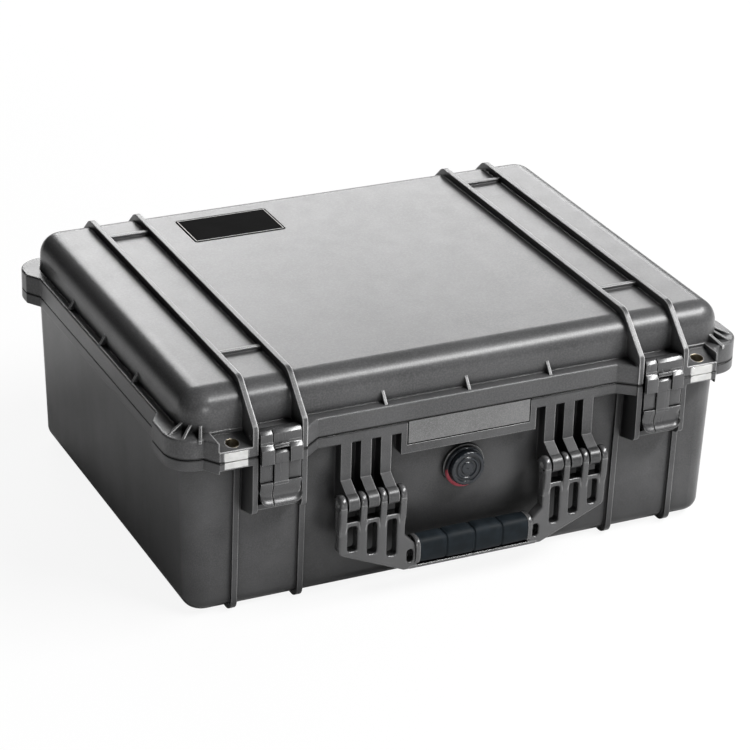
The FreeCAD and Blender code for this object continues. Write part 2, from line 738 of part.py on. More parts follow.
# Three gussets fan out over each front bumper, at these headings from the ends of the case
FANS = (21, 44, 67)
fan_start = size.shell_round - size.wall / 2
fan_end = size.shell_round + size.corner_gusset_length
corner_gusset = [
    (fan_start, gusset_foot),
    (fan_end, gusset_foot),
    (fan_end, size.lid_rim_height),
    (fan_start, size.lid_rim_height + size.corner_gusset_rise),
]
for side, s in SIDES:
    corner_x = (half_length - size.shell_round) * s
    corner_y = size.shell_round - half_width
    for heading in FANS:
        name = f"corner_gusset_{side}_{heading}"
        body = new_body(name)
        sketch = sketch_on(body, f"{name}_outline", "XZ_Plane", -size.gusset_width / 2)
        draw_polygon(sketch, corner_gusset)
        pad(body, f"{name}_plate", sketch, size.gusset_width)
        angle = -heading if s > 0 else heading - 180
        turn = FreeCAD.Rotation(Vector(0, 0, 1), angle)
        lid_solids.append(place(body, corner_x, corner_y, zero, turn))

# Seats of the label plate, the padlock guards, the latch pins and the hinge pins
label_x = -size.label_left
label_y = half_width - size.label_rear_inset


def label(name, grow, low, height):
    body = new_body(name)
    sketch = sketch_on(body, f"{name}_outline", "XY_Plane", low)
    half_x = size.label_length / 2 + grow
    half_y = size.label_width / 2 + grow
    draw_rounded_box(sketch, half_x, half_y, size.label_round, label_x, label_y)
    pad(body, f"{name}_plate", sketch, height)
    return body


label_z = size.lid_depth - size.label_recess
lid_holes.append(label("label_seat", size.plate_gap, label_z, size.wall))
lid_holes += padlock_seats("lid", size.lid_guard_height, 1, size.lid_rim_height)
for side, s in SIDES:
    lid_holes.append(rod(f"latch_pin_hole_{side}", latch_x * s, -latch_pin_y, size.latch_pin_height,
                         size.latch_pin / 2 + size.pin_fit, bay_width))
    lid_holes.append(rod(f"lid_hinge_hole_{side}", latch_x * s, hinge_y, hinge_z_lid,
                         size.hinge_pin / 2 + size.pin_fit, bay_width))
as_node(cut("lid_shell", lid_solids, lid_holes), "lid_shell", lid_lift)

seal_z = size.groove_depth - size.seal_height
as_node(ring("lid_seal", size.groove_width - size.seal_clearance * 2, seal_z, size.seal_height),
        "lid_seal", lid_lift)
as_node(label("lid_plate", zero, label_z, size.label_thickness), "lid_plate", lid_lift)

# Base

base_core = new_body("base_core")
rim(base_core, size.base_rim_height, False)
base_hasp_low = -size.hasp_depth - size.hasp_slope
hasp_cut(base_core, -size.hasp_depth, base_hasp_low, -size.base_rim_height - size.wall)
vessel(base_core, size.base_depth, size.base_draw, size.base_round, False)
tongue_root = size.wall / 2
tongue = ring("tongue", size.tongue_width, -tongue_root, size.tongue_height + tongue_root)
base_solids = [base_core, tongue]
base_holes = []

# Foot ribs down both faces and under the floor
foot_top_y = half_width + size.foot_proud
foot_low_y = foot_top_y - size.base_draw
foot_corners = [
    (-foot_top_y, zero),
    (-foot_low_y, -ground),
    (foot_low_y, -ground),
    (foot_top_y, zero),
] + [(y, -z) for y, z in along_the_wall(size.base_depth, size.base_draw, size.base_round)[::-1]]
foot_rounds = [(foot_corners[1:3], size.base_round)]
for side, s in SIDES:
    for spot, x in zip(("inner", "outer"), foot_places):
        start = x * s - size.foot_width / 2
        name = f"foot_rib_{spot}_{side}"
        base_solids.append(slab(name, foot_corners, start, size.foot_width, foot_rounds))

# Latch guards with a shelf below and a catch bar between them
guard_corners = [
    (-inside_y, zero),
    (-guard_y, zero),
    (-guard_y, -size.guard_drop),
    (-inside_y, -size.guard_drop - size.guard_round),
]
guard_rounds = [([guard_corners[2]], size.guard_round)]
catch_y = rim_front_y + size.catch_out
catch_low = -size.catch_top - size.catch_height
for side, s in SIDES:
    for spot, x in zip(("inner", "outer"), rib_places):
        name = f"base_guard_{spot}_{side}"
        base_solids.append(slab(name, guard_corners, x * s - half_rib, size.rib_width, guard_rounds))
    bay_x = (latch_x * s - size.bay_pitch / 2, latch_x * s + size.bay_pitch / 2)
    shelf_y = (size.guard_round - guard_y, -inside_y)
    shelf_z = (-size.guard_drop, size.rib_width - size.guard_drop)
    base_solids.append(block(f"bay_shelf_{side}", bay_x, shelf_y, shelf_z))
    catch_z = (catch_low, -size.catch_top)
    base_solids.append(block(f"catch_bar_{side}", bay_x, (-catch_y, -inside_y), catch_z))

# Handle brackets of three ribs each
knuckle_top = size.bracket_knuckle - size.handle_pin_drop
knuckle_low = -size.bracket_knuckle - size.handle_pin_drop
bracket_corners = [
    (-inside_y, -size.base_rim_height / 2),
    (-rim_front_y, -size.base_rim_height / 2),
    (-rim_front_y, knuckle_top + size.bracket_knuckle),
    (-handle_pin_y, knuckle_top),
    (-handle_pin_y, knuckle_low),
    (-inside_y, knuckle_low),
]
bracket_length = size.bracket_pitch * 2 + size.bracket_width
for side, s in SIDES:
    for number in (-1, 0, 1):
        x = size.bracket_offset * s + size.bracket_pitch * number
        name = f"bracket_{side}_{number + 2}"
        base_solids.append(slab(name, bracket_corners, x - size.bracket_width / 2, size.bracket_width))
        base_solids.append(rod(f"{name}_knuckle", x, -handle_pin_y, -size.handle_pin_drop,
                               size.bracket_knuckle, size.bracket_width))
    base_holes.append(rod(f"handle_pin_hole_{side}", size.bracket_offset * s, -handle_pin_y,
                          -size.handle_pin_drop, size.handle_pin / 2 + size.pin_fit, bracket_length))

# Name panel with the seat of its plate, and the boss of the valve
panel_x = (-size.panel_length / 2, size.panel_length / 2)
base_solids.append(block("panel", panel_x, (-rim_front_y, -inside_y), (-size.panel_height, zero)))
seat_x = (-size.plate_length / 2 - size.plate_gap, size.plate_length / 2 + size.plate_gap)
seat_y = (-rim_front_y - size.wall, size.plate_depth - rim_front_y)
base_holes.append(block("plate_seat", seat_x, seat_y, (-size.plate_height - size.plate_gap, zero)))
boss_height = valve_face_y - inside_y
base_solids.append(plug("valve_boss", zero, -inside_y, -size.valve_drop, size.valve_boss / 2, boss_height))

# The valve's hole, with a flat face round it inside the case for the nut
nut_top = size.valve_drop - size.valve_nut / 2
nut_face_y = half_width - size.wall - size.base_draw * nut_top / size.base_depth
hole_start = nut_face_y - size.wall
base_holes.append(plug("valve_hole", zero, -hole_start, -size.valve_drop, size.valve_hole / 2,
                       valve_face_y - hole_start + size.wall))
base_holes.append(plug("nut_face", zero, -hole_start, -size.valve_drop, size.valve_nut / 2 + size.plate_gap,
                       nut_face_y - hole_start))

# Hinge ears outside and between the ears of the lid
hinge_z_base = size.parting_gap / 2
ear_corners = [
    (inside_y, -size.hinge_web),
    (hinge_y, -size.hinge_ear_radius),
    (hinge_y, zero),
    (inside_y, zero),
]
for side, s in SIDES:
    ears = [(f"inner_{side}", foot_places[0] * s, size.foot_width),
            (f"middle_{side}", latch_x * s, size.hinge_knuckle_width),
            (f"outer_{side}", foot_places[1] * s, size.foot_width)]
    for spot, x, width in ears:
        base_solids.append(slab(f"base_ear_web_{spot}", ear_corners, x - width / 2, width))
        base_solids.append(rod(f"base_ear_{spot}", x, hinge_y, hinge_z_base, size.hinge_ear_radius, width))
    base_holes.append(rod(f"base_hinge_hole_{side}", latch_x * s, hinge_y, hinge_z_base,
                          size.hinge_pin / 2 + size.pin_fit, hinge_length))

base_holes += padlock_seats("base", size.base_guard_height, -1, size.base_rim_height + size.hasp_slope)
as_node(cut("base_shell", base_solids, base_holes), "base_shell", ground)

plate_x = (-size.plate_length / 2, size.plate_length / 2)
plate_y = (frame_shift - rim_front_y, frame_shift - rim_front_y + size.plate_depth)
name_plate = block("name_plate", plate_x, plate_y, (ground - size.plate_height, ground))
NODES.append(name_plate)

# Steel pins and padlock guards

finger_span = size.bracket_pitch * 3 + size.handle_finger
for side, s in SIDES:
    pins = [
        ("latch_pin", latch_x, frame_shift - latch_pin_y, lid_lift + size.latch_pin_height,
         size.latch_pin, bay_width),
        ("hinge_pin", latch_x, frame_shift + hinge_y, ground + hinge_z_base, size.hinge_pin, hinge_length),
        ("handle_pin", size.bracket_offset, frame_shift - handle_pin_y, ground - size.handle_pin_drop,
         size.handle_pin, finger_span),
        ("lever_pin", latch_x, frame_shift - lever_pin_y, lid_lift - size.lever_pin_drop,
         size.lever_pin, size.latch_width),
    ]
    for name, x, y, z, diameter, length in pins:
        NODES.append(rod(f"{name}_{side}", x * s, y, z, diameter / 2, length))
    padlock_guard(f"padlock_guard_lid_{side}", s, size.lid_guard_height, 1, lid_lift)
    padlock_guard(f"padlock_guard_base_{side}", s, size.base_guard_height, -1, ground)

# Latches

link_top = size.latch_pin_height + size.latch_knuckle
slot_top = size.lever_knuckle + size.lever_gap - size.lever_pin_drop
chamfer = size.latch_front - size.lever_pin_out
link_corners = [
    (-latch_pin_y, link_top),
    (chamfer - rim_front_y - size.latch_front, link_top),
    (-rim_front_y - size.latch_front, link_top - chamfer),
    (-rim_front_y - size.latch_front, -size.link_drop),
    (-rim_front_y - size.link_back, -size.link_drop),
    (-rim_front_y - size.link_back, size.latch_pin_height - size.latch_knuckle),
    (-latch_pin_y, size.latch_pin_height - size.latch_knuckle),
]
half_latch = size.latch_width / 2
half_tongue = size.lever_tongue / 2
half_slot = half_tongue + size.lever_gap
lever_front = size.lever_back + size.lever_thickness
flare_z = size.flare_height - size.lever_drop
lever_corners = [
    (-lever_pin_y, -size.lever_pin_drop),
    (-rim_front_y - size.lever_back, -size.lever_pin_drop),
    (-rim_front_y - size.lever_back, flare_z),
    (-rim_front_y - lever_front, flare_z),
    (-rim_front_y - lever_front, -size.lever_pin_drop),
]
pull_corners = [
    (-rim_front_y - size.lever_back, -size.pull_drop),
    (-rim_front_y - size.lever_back, flare_z),
    (-rim_front_y - size.lever_back - size.lever_flare, -size.lever_drop),
    (-rim_front_y - lever_front - size.lever_flare, -size.lever_drop),
    (-rim_front_y - lever_front, flare_z),
    (-rim_front_y - lever_front, -size.pull_drop),
]
nose_top = catch_low - size.parting_gap - size.nose_gap
nose_tip = catch_y + size.catch_gap
for side, s in SIDES:
    x = latch_x * s
    link = f"latch_link_{side}"
    link_solids = [
        slab(f"{link}_plate", link_corners, x - half_latch, size.latch_width),
        rod(f"{link}_knuckle", x, -latch_pin_y, size.latch_pin_height, size.latch_knuckle, size.latch_width),
    ]
    block_y = (-rim_front_y - size.latch_block_front, -rim_front_y - size.link_back)
    block_z = (-size.latch_block_drop, size.latch_block_top)
    for spot, low, high in (("low", -half_latch, -half_slot), ("high", half_slot, half_latch)):
        link_solids.append(block(f"{link}_block_{spot}", (x + low, x + high), block_y, block_z))
    slot_y = (-rim_front_y - size.latch_block_front - size.wall, -rim_front_y)
    slot_z = (-size.link_drop - size.wall, slot_top)
    link_holes = [
        block(f"{link}_slot", (x - half_slot, x + half_slot), slot_y, slot_z),
        rod(f"{link}_pin_hole", x, -latch_pin_y, size.latch_pin_height,
            size.latch_pin / 2 + size.pin_fit, size.latch_width),
        rod(f"{link}_lever_hole", x, -lever_pin_y, -size.lever_pin_drop,
            size.lever_pin / 2 + size.pin_fit, size.latch_width),
    ]
    as_node(cut(link, link_solids, link_holes), link, lid_lift)

    lever = f"latch_lever_{side}"
    pull = slab(f"{lever}_pull", pull_corners, x - half_latch, size.latch_width)
    pull_ends = [(x - half_latch, -size.lever_drop), (x + half_latch, -size.lever_drop)]
    round_edges(pull, f"{lever}_pull_ends", pull.Tip, front_to_back_at(pull_ends), size.pull_round)
    nose_x = (x - half_latch + size.pull_round, x + half_latch - size.pull_round)
    nose_y = (-rim_front_y - size.lever_back - size.lever_flare, -nose_tip)
    nose_z = (nose_top - size.nose_height, nose_top)
    lever_solids = [
        slab(f"{lever}_tongue", lever_corners, x - half_tongue, size.lever_tongue),
        rod(f"{lever}_knuckle", x, -lever_pin_y, -size.lever_pin_drop,
            size.lever_knuckle, size.lever_tongue),
        pull,
        block(f"{lever}_nose", nose_x, nose_y, nose_z),
    ]
    lever_hole = rod(f"{lever}_hole", x, -lever_pin_y, -size.lever_pin_drop,
                     size.lever_pin / 2 + size.pin_fit, size.lever_tongue)
    as_node(cut(lever, lever_solids, [lever_hole]), lever, lid_lift)

# Handle

arm_inner = size.bracket_offset - size.bracket_pitch * 1.5 - size.handle_finger / 2
arm_outer = size.bracket_offset + size.bracket_pitch * 1.5 + size.handle_finger / 2
pin_z = -size.handle_pin_drop
handle_low = pin_z - size.handle_drop
shoulder_z = pin_z - size.handle_shoulder
strip_top = handle_low + size.handle_strip
grip_low = strip_top + size.grip_gap
grip_z = grip_low + size.grip_height / 2
grip_y = handle_pin_y - size.grip_back
half_grip = size.grip_length / 2
window = (arm_inner - half_grip) / 2
half_frame = size.handle_thickness / 2
frame_half_outline = [
    (half_grip, strip_top),
    (half_grip, grip_z + size.bar_height / 2),
    (arm_inner, grip_z + size.grip_height / 2 + window),
    (arm_inner, pin_z),
    (arm_outer, pin_z),
    (arm_outer, shoulder_z + size.handle_knuckle),
    (arm_outer - size.handle_finger, shoulder_z),
    (arm_inner, handle_low),
]
frame_outline = frame_half_outline + [(-x, z) for x, z in reversed(frame_half_outline)]
frame_body = new_body("handle_frame_plate")
frame_sketch = sketch_on(frame_body, "handle_frame_outline", "XZ_Plane", handle_pin_y - half_frame)
draw_polygon(frame_sketch, frame_outline)
pad(frame_body, "handle_frame_pad", frame_sketch, size.handle_thickness)
bar_y = (-grip_y - size.bar_depth / 2, size.bar_depth / 2 - grip_y)
bar_z = (grip_z - size.bar_height / 2, grip_z + size.bar_height / 2)
bar_x = (-half_grip - window, half_grip + window)
frame_solids = [frame_body, block("handle_bar", bar_x, bar_y, bar_z)]
frame_holes = []
frame_y = (-handle_reach - size.wall, size.handle_knuckle + size.wall - handle_pin_y)
for side, s in SIDES:
    middle = size.bracket_offset * s
    frame_solids.append(rod(f"handle_knuckle_{side}", middle, -handle_pin_y, pin_z,
                            size.handle_knuckle, finger_span))
    frame_holes.append(rod(f"handle_bore_{side}", middle, -handle_pin_y, pin_z,
                           size.handle_pin / 2 + size.pin_fit, finger_span))
    for number in (-1, 0, 1):
        x = middle + size.bracket_pitch * number
        half_gap = (size.bracket_pitch - size.handle_finger) / 2
        gap_z = (pin_z - size.finger_gap_drop, pin_z + size.handle_knuckle + size.wall)
        gap_x = (x - half_gap, x + half_gap)
        frame_holes.append(block(f"finger_gap_{side}_{number + 2}", gap_x, frame_y, gap_z))
        steps = 1 - number * s
        slot_low = pin_z - size.slot_start - size.slot_length - size.slot_step * steps
        slot_x = (x - size.slot_width / 2, x + size.slot_width / 2)
        slot_z = (slot_low, pin_z - size.slot_start)
        frame_holes.append(block(f"arm_slot_{side}_{number + 2}", slot_x, frame_y, slot_z))
as_node(cut("handle_frame", frame_solids, frame_holes), "handle_frame", ground)

grip = new_body("handle_grip")
grip_sketch = sketch_on(grip, "grip_outline", "YZ_Plane", -half_grip)
draw_rounded_box(grip_sketch, size.grip_depth / 2, size.grip_height / 2, size.grip_round, -grip_y, grip_z)
pad(grip, "grip_pad", grip_sketch, size.grip_length)
bore_sketch = sketch_on(grip, "grip_bore_outline", "YZ_Plane", -half_grip)
draw_box(bore_sketch, bar_y[0] - size.grip_fit, bar_y[1] + size.grip_fit,
         bar_z[0] - size.grip_fit, bar_z[1] + size.grip_fit)
pocket(grip, "grip_bore", bore_sketch, size.grip_length)
for number in (-1, 0, 1):
    start = size.grip_length / 4 * number - size.grip_groove / 2
    groove = sketch_on(grip, f"grip_groove_{number + 2}_outline", "YZ_Plane", start)
    for depth in (zero, size.grip_groove_depth):
        draw_rounded_box(groove, size.grip_depth / 2 - depth, size.grip_height / 2 - depth,
                         size.grip_round - depth, -grip_y, grip_z)
    pocket(grip, f"grip_groove_{number + 2}", groove, size.grip_groove)
as_node(grip, "handle_grip", ground)

# Pressure valve

valve_z = -size.valve_drop
flange_y = valve_face_y + size.valve_gasket_height
spigot_y = flange_y + size.valve_flange_height
stem_start = nut_face_y - size.valve_nut_height - size.valve_stem_end
stem_length = flange_y - stem_start
air_way = plug("valve_air_way", zero, -stem_start, valve_z, size.valve_bore / 2, stem_length)
valve_solids = [
    plug("valve_stem", zero, -stem_start, valve_z, size.valve_stem / 2, stem_length),
    plug("valve_flange", zero, -flange_y, valve_z, size.valve_flange / 2, size.valve_flange_height),
    plug("valve_spigot", zero, -spigot_y, valve_z, size.valve_spigot / 2, size.valve_spigot_height),
]
as_node(cut("valve_body", valve_solids, [air_way]), "valve_body", ground)

gasket_disc = plug("valve_gasket_disc", zero, -valve_face_y, valve_z,
                   size.valve_gasket / 2, size.valve_gasket_height)
gasket_hole = plug("valve_gasket_hole", zero, -valve_face_y, valve_z,
                   size.valve_hole / 2, size.valve_gasket_height)
as_node(cut("valve_gasket", [gasket_disc], [gasket_hole]), "valve_gasket", ground)

nut_start = nut_face_y - size.valve_nut_height
nut = doc.addObject("Part::Prism", "valve_nut_prism")
nut.Polygon = 6
nut.setExpression("Circumradius", (size.valve_nut / 2).words)
nut.setExpression("Height", size.valve_nut_height.words)
place(nut, zero, -nut_start, valve_z, TURN_TO_FRONT)
nut_hole = plug("valve_nut_hole", zero, -nut_start, valve_z,
                size.valve_stem / 2 + size.pin_fit, size.valve_nut_height)
as_node(cut("valve_nut", [nut], [nut_hole]), "valve_nut", ground)

membrane = plug("valve_membrane", zero, frame_shift - nut_face_y, ground + valve_z,
                size.valve_bore / 2 - size.pin_fit, size.membrane_height)
NODES.append(membrane)

knob_y = spigot_y + size.valve_knob_gap
knob_front = knob_y + size.valve_knob_height
knob_solid = plug("valve_knob_disc", zero, -knob_y, valve_z, size.valve_knob / 2, size.valve_knob_height)
knob_socket = plug("valve_knob_socket", zero, -knob_y, valve_z,
                   size.valve_spigot / 2 + size.pin_fit, size.valve_spigot_height)
knob_holes = [knob_socket]
for number in (1, 2):
    outer = size.valve_knob / 2 - size.valve_rings * (number * 2 - 1)
    name = f"valve_knob_ring_{number}"
    start = knob_front - size.valve_ring_depth
    disc = plug(f"{name}_outer", zero, -start, valve_z, outer, size.valve_ring_depth)
    core = plug(f"{name}_inner", zero, -start, valve_z, outer - size.valve_rings, size.valve_ring_depth)
    knob_holes.append(cut(name, [disc], [core]))
as_node(cut("valve_knob", [knob_solid], knob_holes), "valve_knob", ground)

# Checks and export

doc.recompute()
for thing in doc.Objects:
    if "Invalid" in thing.State or "Error" in thing.State:
        raise ValueError(f"{thing.Name} failed: {thing.getStatusString()}")
for node in NODES:
    shape = node.Shape
    if shape.isNull() or not shape.isValid() or len(shape.Solids) != 1:
        raise ValueError(f"{node.Label} is not one valid solid")

os.makedirs("parts", exist_ok=True)
for node in NODES:
    node.Shape.exportStep(f"parts/{node.Label}.step")
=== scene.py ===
"""Looks of a moulded protective hard case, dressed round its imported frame."""
import logging
import math
from dataclasses import dataclass
from enum import Enum
from typing import Sequence

import bmesh
import bpy
from mathutils import Matrix, Vector


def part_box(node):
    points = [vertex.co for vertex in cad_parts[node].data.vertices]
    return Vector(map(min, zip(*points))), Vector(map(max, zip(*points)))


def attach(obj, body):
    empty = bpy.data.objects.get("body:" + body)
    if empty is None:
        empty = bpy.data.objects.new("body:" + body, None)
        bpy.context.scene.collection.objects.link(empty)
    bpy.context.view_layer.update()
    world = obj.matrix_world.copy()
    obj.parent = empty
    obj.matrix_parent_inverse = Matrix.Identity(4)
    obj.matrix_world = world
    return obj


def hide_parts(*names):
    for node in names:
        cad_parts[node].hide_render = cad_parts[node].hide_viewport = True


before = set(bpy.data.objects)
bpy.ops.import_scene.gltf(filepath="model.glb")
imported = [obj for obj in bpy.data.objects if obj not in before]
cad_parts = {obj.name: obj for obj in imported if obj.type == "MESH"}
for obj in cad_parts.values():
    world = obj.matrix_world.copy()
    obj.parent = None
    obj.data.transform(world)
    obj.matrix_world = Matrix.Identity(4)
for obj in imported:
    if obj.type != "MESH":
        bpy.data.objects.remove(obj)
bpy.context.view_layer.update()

LOG = logging.getLogger("hard_case")
MM = 0.001
JOINT_LEVEL = 154.4 * MM
Colour = tuple[float, float, float]
Point = tuple[float, float]
Place = tuple[float, float, float]
Socket = bpy.types.NodeSocket
Material = bpy.types.Material
Values = dict[str | int, object]


class Body(Enum):
    """Moving bodies of the case."""

    BASE = "base"
    LID = "lid"
    LINK_LEFT = "link_left"
    LINK_RIGHT = "link_right"
    LEVER_LEFT = "lever_left"
    LEVER_RIGHT = "lever_right"
    HANDLE = "handle"
    VALVE = "valve"


class Slot(Enum):
    """Material slots of the record, one given for each new piece."""

    CASE = "case_plastic"
    LATCH = "latch_plastic"
    PLATE = "plate_plastic"
    VALVE = "valve_plastic"
    GASKET = "gasket_rubber"
    GRIP = "grip_rubber"
    GUARD = "guard_steel"


class Side(Enum):
    """Left and right end of the case, with the sign of X there."""

    LEFT = -1
    RIGHT = 1

    @property
    def word(self) -> str:
        """The side's name as it ends a node's name."""
        return self.name.lower()


class Axis(Enum):
    """Axis about which a profile is turned, with its place in a point."""

    X = 0
    Y = 1
    Z = 2


# Finishes


class Graph:
    """Node graph of one material."""

    def __init__(self, name: str) -> None:
        """Starts an empty graph.

        Args:
            name: Name of the material.
        """
        self.material = bpy.data.materials.new(name)
        self.material.use_nodes = True
        self.tree = self.material.node_tree
        self.tree.nodes.clear()

    def add(self, kind: str, values: Values | None = None, **settings: object) -> bpy.types.Node:
        """Adds a node, sets it up and links what is given as a socket.

        Args:
            kind: Node type without its ShaderNode prefix.
            values: Inputs by name or number: a number, a colour or the output to link.
            **settings: Attributes of the node.

        Returns:
            The new node.
        """
        node = self.tree.nodes.new(f"ShaderNode{kind}")
        for key, setting in settings.items():
            setattr(node, key, setting)
        for key, value in (values or {}).items():
            if isinstance(value, Socket):
                self.tree.links.new(value, node.inputs[key])
            else:
                node.inputs[key].default_value = value
        return node

    def reckon(self, operation: str, *values: float | Socket) -> Socket:
        """Works out one value from others.

        Args:
            operation: Name of the sum, as the maths node has it.
            *values: Numbers or outputs that go into it, in order.

        Returns:
            The result.
        """
        return self.add("Math", dict(enumerate(values)), operation=operation).outputs[0]

    def noise(self, size: float, detail: float = 3.0, stretch: Place = (1, 1, 1)) -> Socket:
        """Gives a noise of spots of a stated size.

        Args:
            size: Size of the spots in metres.
            detail: Octaves of finer noise.
            stretch: Scale of the pattern along each axis.

        Returns:
            The noise's value, from 0 to 1.
        """
        place = self.add("TexCoord").outputs["Object"]
        mapped = self.add("Mapping", {"Vector": place, "Scale": stretch}).outputs[0]
        values = {"Vector": mapped, "Scale": 1 / size, "Detail": detail, "Roughness": 0.55}
        return self.add("TexNoise", values).outputs[0]

    def spread(self, value: Socket, low: float, high: float, start: float = 0.3, end: float = 0.7) -> Socket:
        """Maps a value from one range to another.

        Args:
            value: What is mapped.
            low: Result at start.
            high: Result at end.
            start: Value that gives low.
            end: Value that gives high.

        Returns:
            The mapped value.
        """
        values = {"Value": value, "From Min": start, "From Max": end, "To Min": low, "To Max": high}
        return self.add("MapRange", values).outputs[0]

    def tint(self, amount: Socket, first: Colour | Socket, second: Colour | Socket) -> Socket:
        """Mixes two colours.

        Args:
            amount: Share of the second colour.
            first: Colour at 0, or an output.
            second: Colour at 1, or an output.

        Returns:
            The mixed colour.
        """
        ends = [end if isinstance(end, Socket) else (*end, 1.0) for end in (first, second)]
        node = self.add("Mix", {0: amount, 6: ends[0], 7: ends[1]}, data_type="RGBA")
        return node.outputs[2]

    def edges(self, radius: float) -> tuple[Socket, Socket]:
        """Rounds the shading of sharp edges.

        Args:
            radius: Radius of the rounding in metres.

        Returns:
            The rounded normal, and a mask that is 1 on the outward edges.
        """
        rounded = self.add("Bevel", {"Radius": radius}, samples=6).outputs[0]
        flat = self.add("NewGeometry").outputs["Normal"]
        along = self.add("VectorMath", {0: rounded, 1: flat}, operation="DOT_PRODUCT").outputs["Value"]
        bent = self.spread(along, 1.0, 0.0, start=0.9, end=0.995)
        inside = self.add("AmbientOcclusion", {"Distance": radius}, samples=8, inside=True)
        outward = self.spread(inside.outputs["AO"], 1.0, 0.0, start=0.7, end=0.95)
        return rounded, self.reckon("MULTIPLY", bent, outward)

    def crevice_shade(self, reach: float) -> Socket:
        """Finds narrow places, whose colour is darkened as painted shade.

        Args:
            reach: Size of the places in metres.

        Returns:
            The share of the colour that is left: 1 in the open, 0 deep inside.
        """
        lit = self.add("AmbientOcclusion", {"Distance": reach}, samples=8).outputs["AO"]
        return self.spread(lit, 0.0, 1.0, start=0.3, end=0.9)

    def seam(self, level: float, half: float) -> Socket:
        """Finds the strip along a level joint, which is darkened as painted shade in the gap.

        Args:
            level: Height of the joint in metres.
            half: Half the width of the strip in metres.

        Returns:
            The share of the colour that is left, 1 away from the joint.
        """
        place = self.add("TexCoord").outputs["Object"]
        height = self.add("SeparateXYZ", {0: place}).outputs[2]
        away = self.reckon("ABSOLUTE", self.reckon("SUBTRACT", height, level))
        return self.spread(away, 0.05, 1.0, start=0.6 * half, end=half)

    def close(self, colour: Socket, rough: Socket, bump: Values, shine: Values) -> Material:
        """Ends the graph in a surface shader.

        Args:
            colour: Base colour.
            rough: Roughness.
            bump: Inputs of the bump node.
            shine: Other inputs of the shader.

        Returns:
            The finished material.
        """
        normal = self.add("Bump", bump).outputs[0]
        inputs = {"Base Color": colour, "Roughness": rough, "Normal": normal, **shine}
        shader = self.add("BsdfPrincipled", inputs)
        self.add("OutputMaterial", {"Surface": shader.outputs[0]})
        return self.material


@dataclass(frozen=True)
class MouldedPlastic:
    """Satin moulded plastic with a fine grain, mottling, and lighter edges: rubbed wear and painted
    highlight.
    """

    name: str
    colour: Colour
    rubbed_and_highlight: Colour
    roughness: float = 0.31
    gloss: float = 0.35
    grain: float = 0.9 * MM
    grain_depth: float = 0.05 * MM
    round_edge: float = 1.3 * MM
    streaks: float = 0.022
    shade_reach: float = 26 * MM
    mottle: float = 0.25
    scuffs: float = 0.0
    joint_level: float = 0.0
    joint_half: float = 1.9 * MM

    def material(self) -> Material:
        """Builds the finish.

        Returns:
            The finished material.
        """
        graph = Graph(self.name)
        rounded, edge = graph.edges(self.round_edge)
        blotches = graph.noise(size=70 * MM, detail=7)
        fine = graph.noise(self.grain, detail=2)
        drawn = graph.noise(size=18 * MM, detail=4, stretch=(1, 1, 0.18))
        smears = graph.noise(size=90 * MM, detail=4)
        # The darker of these two colours is near black, for painted shade.
        glint, painted_shade = self._toned(2.4), self._toned(0.08)
        clouds = graph.spread(blotches, 0, 1, start=0.34, end=0.66)
        body = graph.tint(clouds, self._toned(1 - self.mottle), self._toned(1 + self.mottle))
        speckled = graph.tint(graph.spread(fine, 0, 0.4, start=0.4, end=0.75), body, glint)
        marks = graph.spread(smears, 0, self.scuffs, start=0.42, end=0.75)
        scuffed = graph.tint(marks, speckled, self.rubbed_and_highlight)
        # Painted shade: the colour falls to near black in narrow places, where shade gathers.
        unshaded = graph.crevice_shade(self.shade_reach)
        # Painted shade along the lid joint: a darker band standing for the shadow in the gap.
        if self.joint_level:
            unshaded = graph.reckon("MULTIPLY", unshaded, graph.seam(self.joint_level, self.joint_half))
        shaded = graph.tint(unshaded, painted_shade, scuffed)
        # Lighter edges, partly rubbed wear and partly a painted highlight; none in the painted shade.
        rub = graph.reckon("MULTIPLY", edge, graph.spread(blotches, 0.4, 0.9))
        colour = graph.tint(graph.reckon("MULTIPLY", rub, unshaded), shaded, self.rubbed_and_highlight)
        rough = graph.spread(drawn, self.roughness - self.streaks, self.roughness + self.streaks)
        polish = graph.spread(edge, 0, -0.1, start=0, end=1)
        rough = graph.reckon("ADD", rough, polish)
        bump = {"Strength": 0.6, "Distance": self.grain_depth, "Height": fine, "Normal": rounded}
        return graph.close(colour, rough, bump, {"Specular IOR Level": self.gloss})

    def _toned(self, factor: float) -> Colour:
        """Gives the colour made lighter or darker by a factor."""
        return tuple(share * factor for share in self.colour)


@dataclass(frozen=True)
class SoftRubber:
    """Matt rubber with a dusty bloom and a fine pebbled skin."""

    name: str
    colour: Colour
    bloom: Colour
    roughness: float = 0.6
    pebble: float = 0.7 * MM
    gloss: float = 0.3
    edge_bloom: float = 0.4

    def material(self) -> Material:
        """Builds the finish.

        Returns:
            The finished material.
        """
        graph = Graph(self.name)
        rounded, edge = graph.edges(radius=0.5 * MM)
        dust = graph.noise(size=9 * MM, detail=4)
        skin = graph.noise(self.pebble, detail=2)
        body = graph.tint(graph.spread(dust, 0, 0.6, start=0.4, end=0.75), self.colour, self.bloom)
        colour = graph.tint(graph.reckon("MULTIPLY", edge, self.edge_bloom), body, self.bloom)
        rough = graph.spread(dust, self.roughness - 0.06, self.roughness + 0.08)
        bump = {"Strength": 0.5, "Distance": 0.08 * MM, "Height": skin, "Normal": rounded}
        return graph.close(colour, rough, bump, {"Specular IOR Level": self.gloss})


